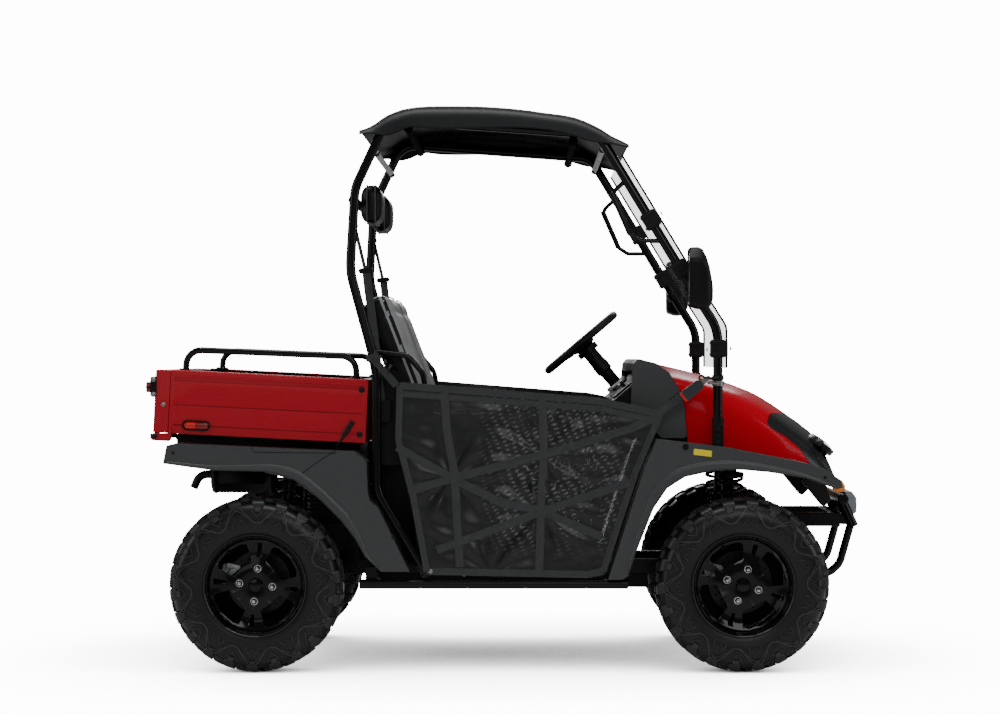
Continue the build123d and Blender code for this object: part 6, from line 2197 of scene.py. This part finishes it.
straps, plastic, metal, buttons = (bmesh.new() for _ in range(4))
for sign in SIGNS:
    outward = (0, sign, 0)
    add_webbing(straps, on_side(sign, *REAR_STRAP), width=24, normal=outward)
    for turn in range(4):
        x, z = -452 + turn * 17, 1058 - turn * 15
        wrap = on_side(sign, (x - 12, 593, z - 16), (x - 3, 600, z), (x + 8, 593, z + 14))
        add_webbing(straps, wrap, width=13, normal=(0.6, 0, 0.8))
    along = Vector((0.66, 0, -0.75))
    slider_up = along.cross(Vector((0, 1, 0)))
    add_prism(plastic, box(-14, -11, 14, 11, 3, 2), on_side(sign, (-396, 594, 984)), along, slider_up, -3, 3)
    add_lathe(straps, STRAP_LOOP, on_side(sign, (-457, cage_y(1052), 1052)), (-0.22, 0, 0.97), 28)
    add_webbing(straps, on_side(sign, *FRONT_STRAP), width=26, normal=outward)
    ladder, lock = on_side(sign, (547, 598, 900), (584, 598, 921))
    for reach in (0, 15, 30):
        add_prism(plastic, box(-4, -19, 4, 19, 2, 2), ladder + LOCK[0] * reach, *LOCK, -4, 4)
    for edge in (-17, 17):
        add_prism(plastic, box(-4, -3, 34, 3, 2, 2), ladder + LOCK[1] * edge, *LOCK, -4, 4)
    for target, shape, half in (
        (plastic, BUCKLE, 9),
        (buttons, box(-7, -17, 1.5, 17, 2.5, 2), 7.5),
        (metal, TONGUE, 1.6),
    ):
        add_prism(target, shape, lock, *LOCK, -half, half)
    add_rod(metal, *on_side(sign, (667, 590, 968), (667, 604, 968)), 6.5, 18)
    add_pipe(metal, on_side(sign, (667, 599, 968), (682, 596, 966), (698, 592, 965)), 5, 8, sides=14)
    add_lathe(metal, box(16.3, -8, 20, 8), on_side(sign, (698, FOOT_Y, 965)), (0, 0, 1), 32)
    add_bolt(metal, on_side(sign, (-262, 589.5, 338)), outward, 9, 5)
    add_bolt(metal, on_side(sign, (-150, 589.5, 330)), outward, 6, 4)
settle("net_straps", straps, "chassis", M["strap"], "net_fabric", smooth=45)
settle("net_buckles", plastic, "chassis", M["buckle"], "net_fabric", bevel=0.8)
settle("net_buttons", buttons, "chassis", M["red_button"], "net_fabric", bevel=0.8)
settle("net_fastener_metal", metal, "chassis", M["zinc"], "net_fabric", smooth=40)
print("net fasteners done")

# %% [markdown]
# The lap and shoulder belts leave a guide high on the rear pillar, pass the outer edge of each seat back and
# end in a reel beside the base. Their buckles stand on short stalks between the seats.

# %% Seat belts
UPPER_BELT = ((-517, 552, 1490), (-500, 547, 1418), (-484, 541, 1350))
LOWER_BELT = (
    (-479, 541, 1335), (-474, 538, 1290), (-462, 536, 1200), (-449, 536, 1090), (-438, 537, 980), (-430, 537, 905),
)
STALK = ((-345, 30, 790), (-338, 32, 850), (-328, 34, 895))
GUIDE = rounded([(-20, -9), (20, -9), (26, 0), (20, 9), (-20, 9), (-26, 0)], 5, 3)
BELT_BUCKLE = rounded([(-13, 0), (13, 0), (15, 52), (9, 60), (-9, 60), (-15, 52)], 4, 3)
belts, parts, buttons = (bmesh.new() for _ in range(3))
for sign in SIGNS:
    outward = (0, sign, 0)
    add_webbing(belts, on_side(sign, *UPPER_BELT), width=12, normal=outward)
    add_webbing(belts, on_side(sign, *LOWER_BELT), width=28, normal=outward)
    add_prism(parts, GUIDE, on_side(sign, (-481, 541, 1343)), (1, 0, 0.1), (-0.1, 0, 1), -6, 6)
    side_plate(parts, box(-462, 836, -398, 908, 12, 3), sign, 534, 560)
    add_bolt(parts, on_side(sign, (-517, 556, 1492)), outward, 8, 5)
    add_pipe(parts, on_side(sign, *STALK), 5, 20, sides=12)
    for target, shape, half in ((parts, BELT_BUCKLE, 11), (buttons, box(-9, 57, 9, 62.5, 2, 2), 8)):
        add_prism(target, shape, on_side(sign, (-328, 34, 892)), (1, 0, 0), (0.15, 0, 1), -half, half)
settle("seat_belts", belts, "chassis", M["strap"], "seat_vinyl", smooth=45)
settle("belt_parts", parts, "chassis", M["black_plastic"], "seat_vinyl", smooth=40, bevel=1)
settle("belt_buttons", buttons, "chassis", M["red_button"], "seat_vinyl", bevel=0.8)
print("belts: 2")

# %% [markdown]
# ## Frame and underside
#
# Seen from below, the vehicle is welded tube and plate: the rails, cross members, arms and axle keep their imported
# shapes with rounded edges, and get what a frame really carries: weld beads and bolts.

# %% Frame, floor and running gear
for node, material, slot, bevel in (
    ("frame_rails", "frame", "frame_black", 3),
    ("frame_cross_members", "frame", "frame_black", 3),
    ("bed_pivot", "frame", "frame_black", 1.5),
    ("skid_plate", "underbody", "floor_plastic", 1),
    ("front_arms", "frame", "frame_black", 3),
    ("rear_axle", "underbody", "engine_metal", 3),
    ("floor", "black_plastic", "floor_plastic", 2),
):
    copy_of(node, "chassis", M[material], slot, bevel=bevel)
for sign, side in SIDES:
    copy_of(f"knuckle_{side}", f"knuckle_{side}", M["cast"], "engine_metal", bevel=3)
copy_of("steering_rack_bar", "steering_rack", M["steel"], "engine_metal", bevel=1)
work = bmesh.new()
for x in range(-271, 288, 62):
    for low, high in ((-380, -215), (-150, 150), (215, 380)):
        add_prism(work, box(x, low, x + 30, high, 8, 3), ORIGIN, *PLAN_VIEW, 355.8, 358.6)
settle("floor_tread_pads", work, "chassis", M["soft_rubber"], "floor_plastic", bevel=1)
beads = bmesh.new()
for sign in SIGNS:
    for x in (-790, -750, -560, -520, 740, 780):
        for y in (173, 213):
            top = (x + (0.1 if x < 0 else -0.1), sign * (y + 0.1), 356)
            add_pipe(beads, [(x, sign * y, 352), top], 3.5, sides=10)
    for x in (-481, -443, -60, -22, 276, 314):
        add_pipe(beads, [(x, sign * 214, 295), (x, sign * 214, 345)], 3.2, sides=10)
settle("frame_weld_beads", beads, "chassis", M["frame"], "frame_black", smooth=60)
bolts = bmesh.new()
for sign in SIGNS:
    for x in (-430, -120, 120, 330):
        add_bolt(bolts, (x, sign * 170, 252 if x > -60 else 262), (0, 0, -1), 6, 4)
    for x in (715, 845):
        add_bolt(bolts, (x, sign * 213.4, 315), (0, sign, 0), 9, 6)
    add_bolt(bolts, (780, sign * 395, 376.4), (0, 0, 1), 9, 7)
    add_bolt(bolts, (780, sign * 395, 225.6), (0, 0, -1), 9, 7)
settle("frame_bolts", bolts, "chassis", M["zinc"], "frame_black")
print("frame dressed")

# %% [markdown]
# The engine fills the space under the bed. Its block carries cooling fins, a round belt cover on one side
# and a pan below. The silencer is a crimped drum with a heat shield and a bent tail pipe.

# %% Engine and silencer
PIPE_Y = -100
BELT_COVER = [(0, 13), (60, 13), (84, 10), (92, 4), (95, 0), (0, 0)]
DRUM = [
    (0, 0), (36, 0), (52, 5), (57.5, 12), (57.5, 18), (54.5, 22),
    (54.5, 208), (57.5, 212), (57.5, 218), (52, 225), (36, 230), (0, 230),
]
work = bmesh.new()
add_block(work, (-735, -150, 352), (-455, 150, 470))
add_block(work, (-700, -120, 470), (-490, 120, 606))
for number in range(9):
    z = 476 + number * 15.5
    add_prism(work, box(-712, -132, -478, 132, 18), ORIGIN, *PLAN_VIEW, z, z + 6)
add_prism(work, box(-700, -110, -490, 110, 22), ORIGIN, *PLAN_VIEW, 612, 639.5)
for x in (-690, -500):
    for y in (-98, 98):
        add_bolt(work, (x, y, 606), (0, 0, 1), 8, 6)
settle("engine_block", work, "chassis", M["cast"], "engine_metal", "engine", smooth=40, bevel=2.5)
work = bmesh.new()
for x, z, share in ((-655, 455, 1.0), (-535, 430, 0.82)):
    cover = [(radius * share, along) for radius, along in BELT_COVER]
    add_lathe(work, cover, (x, 151.5, z), (0, 1, 0), 44, closed=False)
add_block(work, (-655, 151.5, 360), (-535, 160, 545))
settle("belt_cover", work, "chassis", M["black_plastic"], "engine_metal", smooth=40, bevel=2)
work = bmesh.new()
add_lathe(work, DRUM, (-1050, PIPE_Y, 630), (1, 0, 0), 56, closed=False)
add_pipe(work, [(-821, PIPE_Y, 610), (-790, PIPE_Y, 610), (-741, PIPE_Y, 610)], 19, 30, sides=24)
tail = [(x, PIPE_Y, z) for x, z in ((-1049, 640), (-1078, 640), (-1098, 626), (-1113, 592))]
path = [point / 1000 for point in bent(tail, 30, 8)]
turns = np.linspace(0, 2 * math.pi, 25)[:-1]
join_rings(work, tube_rings(work, path, 14.5, turns) + tube_rings(work, path, 12.5, turns)[::-1])
settle("silencer", work, "chassis", M["exhaust"], "exhaust_steel", "muffler", smooth=45)
work = bmesh.new()
turns = [math.radians(-20 + 220 * step / 24) for step in range(25)]
rings = []
for x in (-1020, -860):
    arc = [(PIPE_Y - 60.5 * math.cos(turn), 630 + 60.5 * math.sin(turn)) for turn in turns]
    rings.append([work.verts.new(mm(x, y, z)) for y, z in arc])
join_rings(work, rings, wrap=False)
thicken(settle("silencer_shield", work, "chassis", M["underbody"], "exhaust_steel", smooth=60), 1.5)
print("engine and silencer done")

# %% [markdown]
# ## Floor
#
# The floor is a wide sheet that glows for the camera: where nothing stands on it, it is as white as the backdrop, and
# near the vehicle ambient occlusion darkens that glow into a painted shadow.

# %% Floor and its finish
look = {"drift": 0.02, "scuff": 0.03, "grain": (40, 1.0), "bump": 0.01, "dust": 0.0}
floor_material = finish("studio_floor", (0.8, 0.8, 0.8), 0.7, **look)
tree = floor_material.node_tree
# Painted shadow: the floor's glow for the camera is darkened by ambient occlusion, not by the lamps.
shade = add_node(tree, "AmbientOcclusion", {"Distance": 1.1}, samples=24).outputs["AO"]
seen = add_node(tree, "LightPath").outputs
brightness = ramp(tree, seen["Transparent Depth"], 0.0, 1.0, BACKDROP, BACKDROP_THROUGH_NET)
strength = maths(tree, "MULTIPLY", maths(tree, "POWER", shade, 1.5), brightness)
paper = add_node(tree, "Emission", {"Strength": strength}).outputs[0]
plain = tree.nodes["Principled BSDF"].outputs[0]
choice = add_node(tree, "MixShader", {0: seen["Is Camera Ray"], 1: plain, 2: paper})
tree.links.new(choice.outputs[0], tree.nodes["Material Output"].inputs["Surface"])
REACH = 60
floor_mesh = bpy.data.meshes.new("studio_floor")
corners = [(x, y, 0) for x, y in box(-REACH, -REACH, REACH, REACH)]
floor_mesh.from_pydata(corners, [], [(0, 1, 2, 3)])
floor_mesh.materials.append(floor_material)
show("studio_floor", floor_mesh)
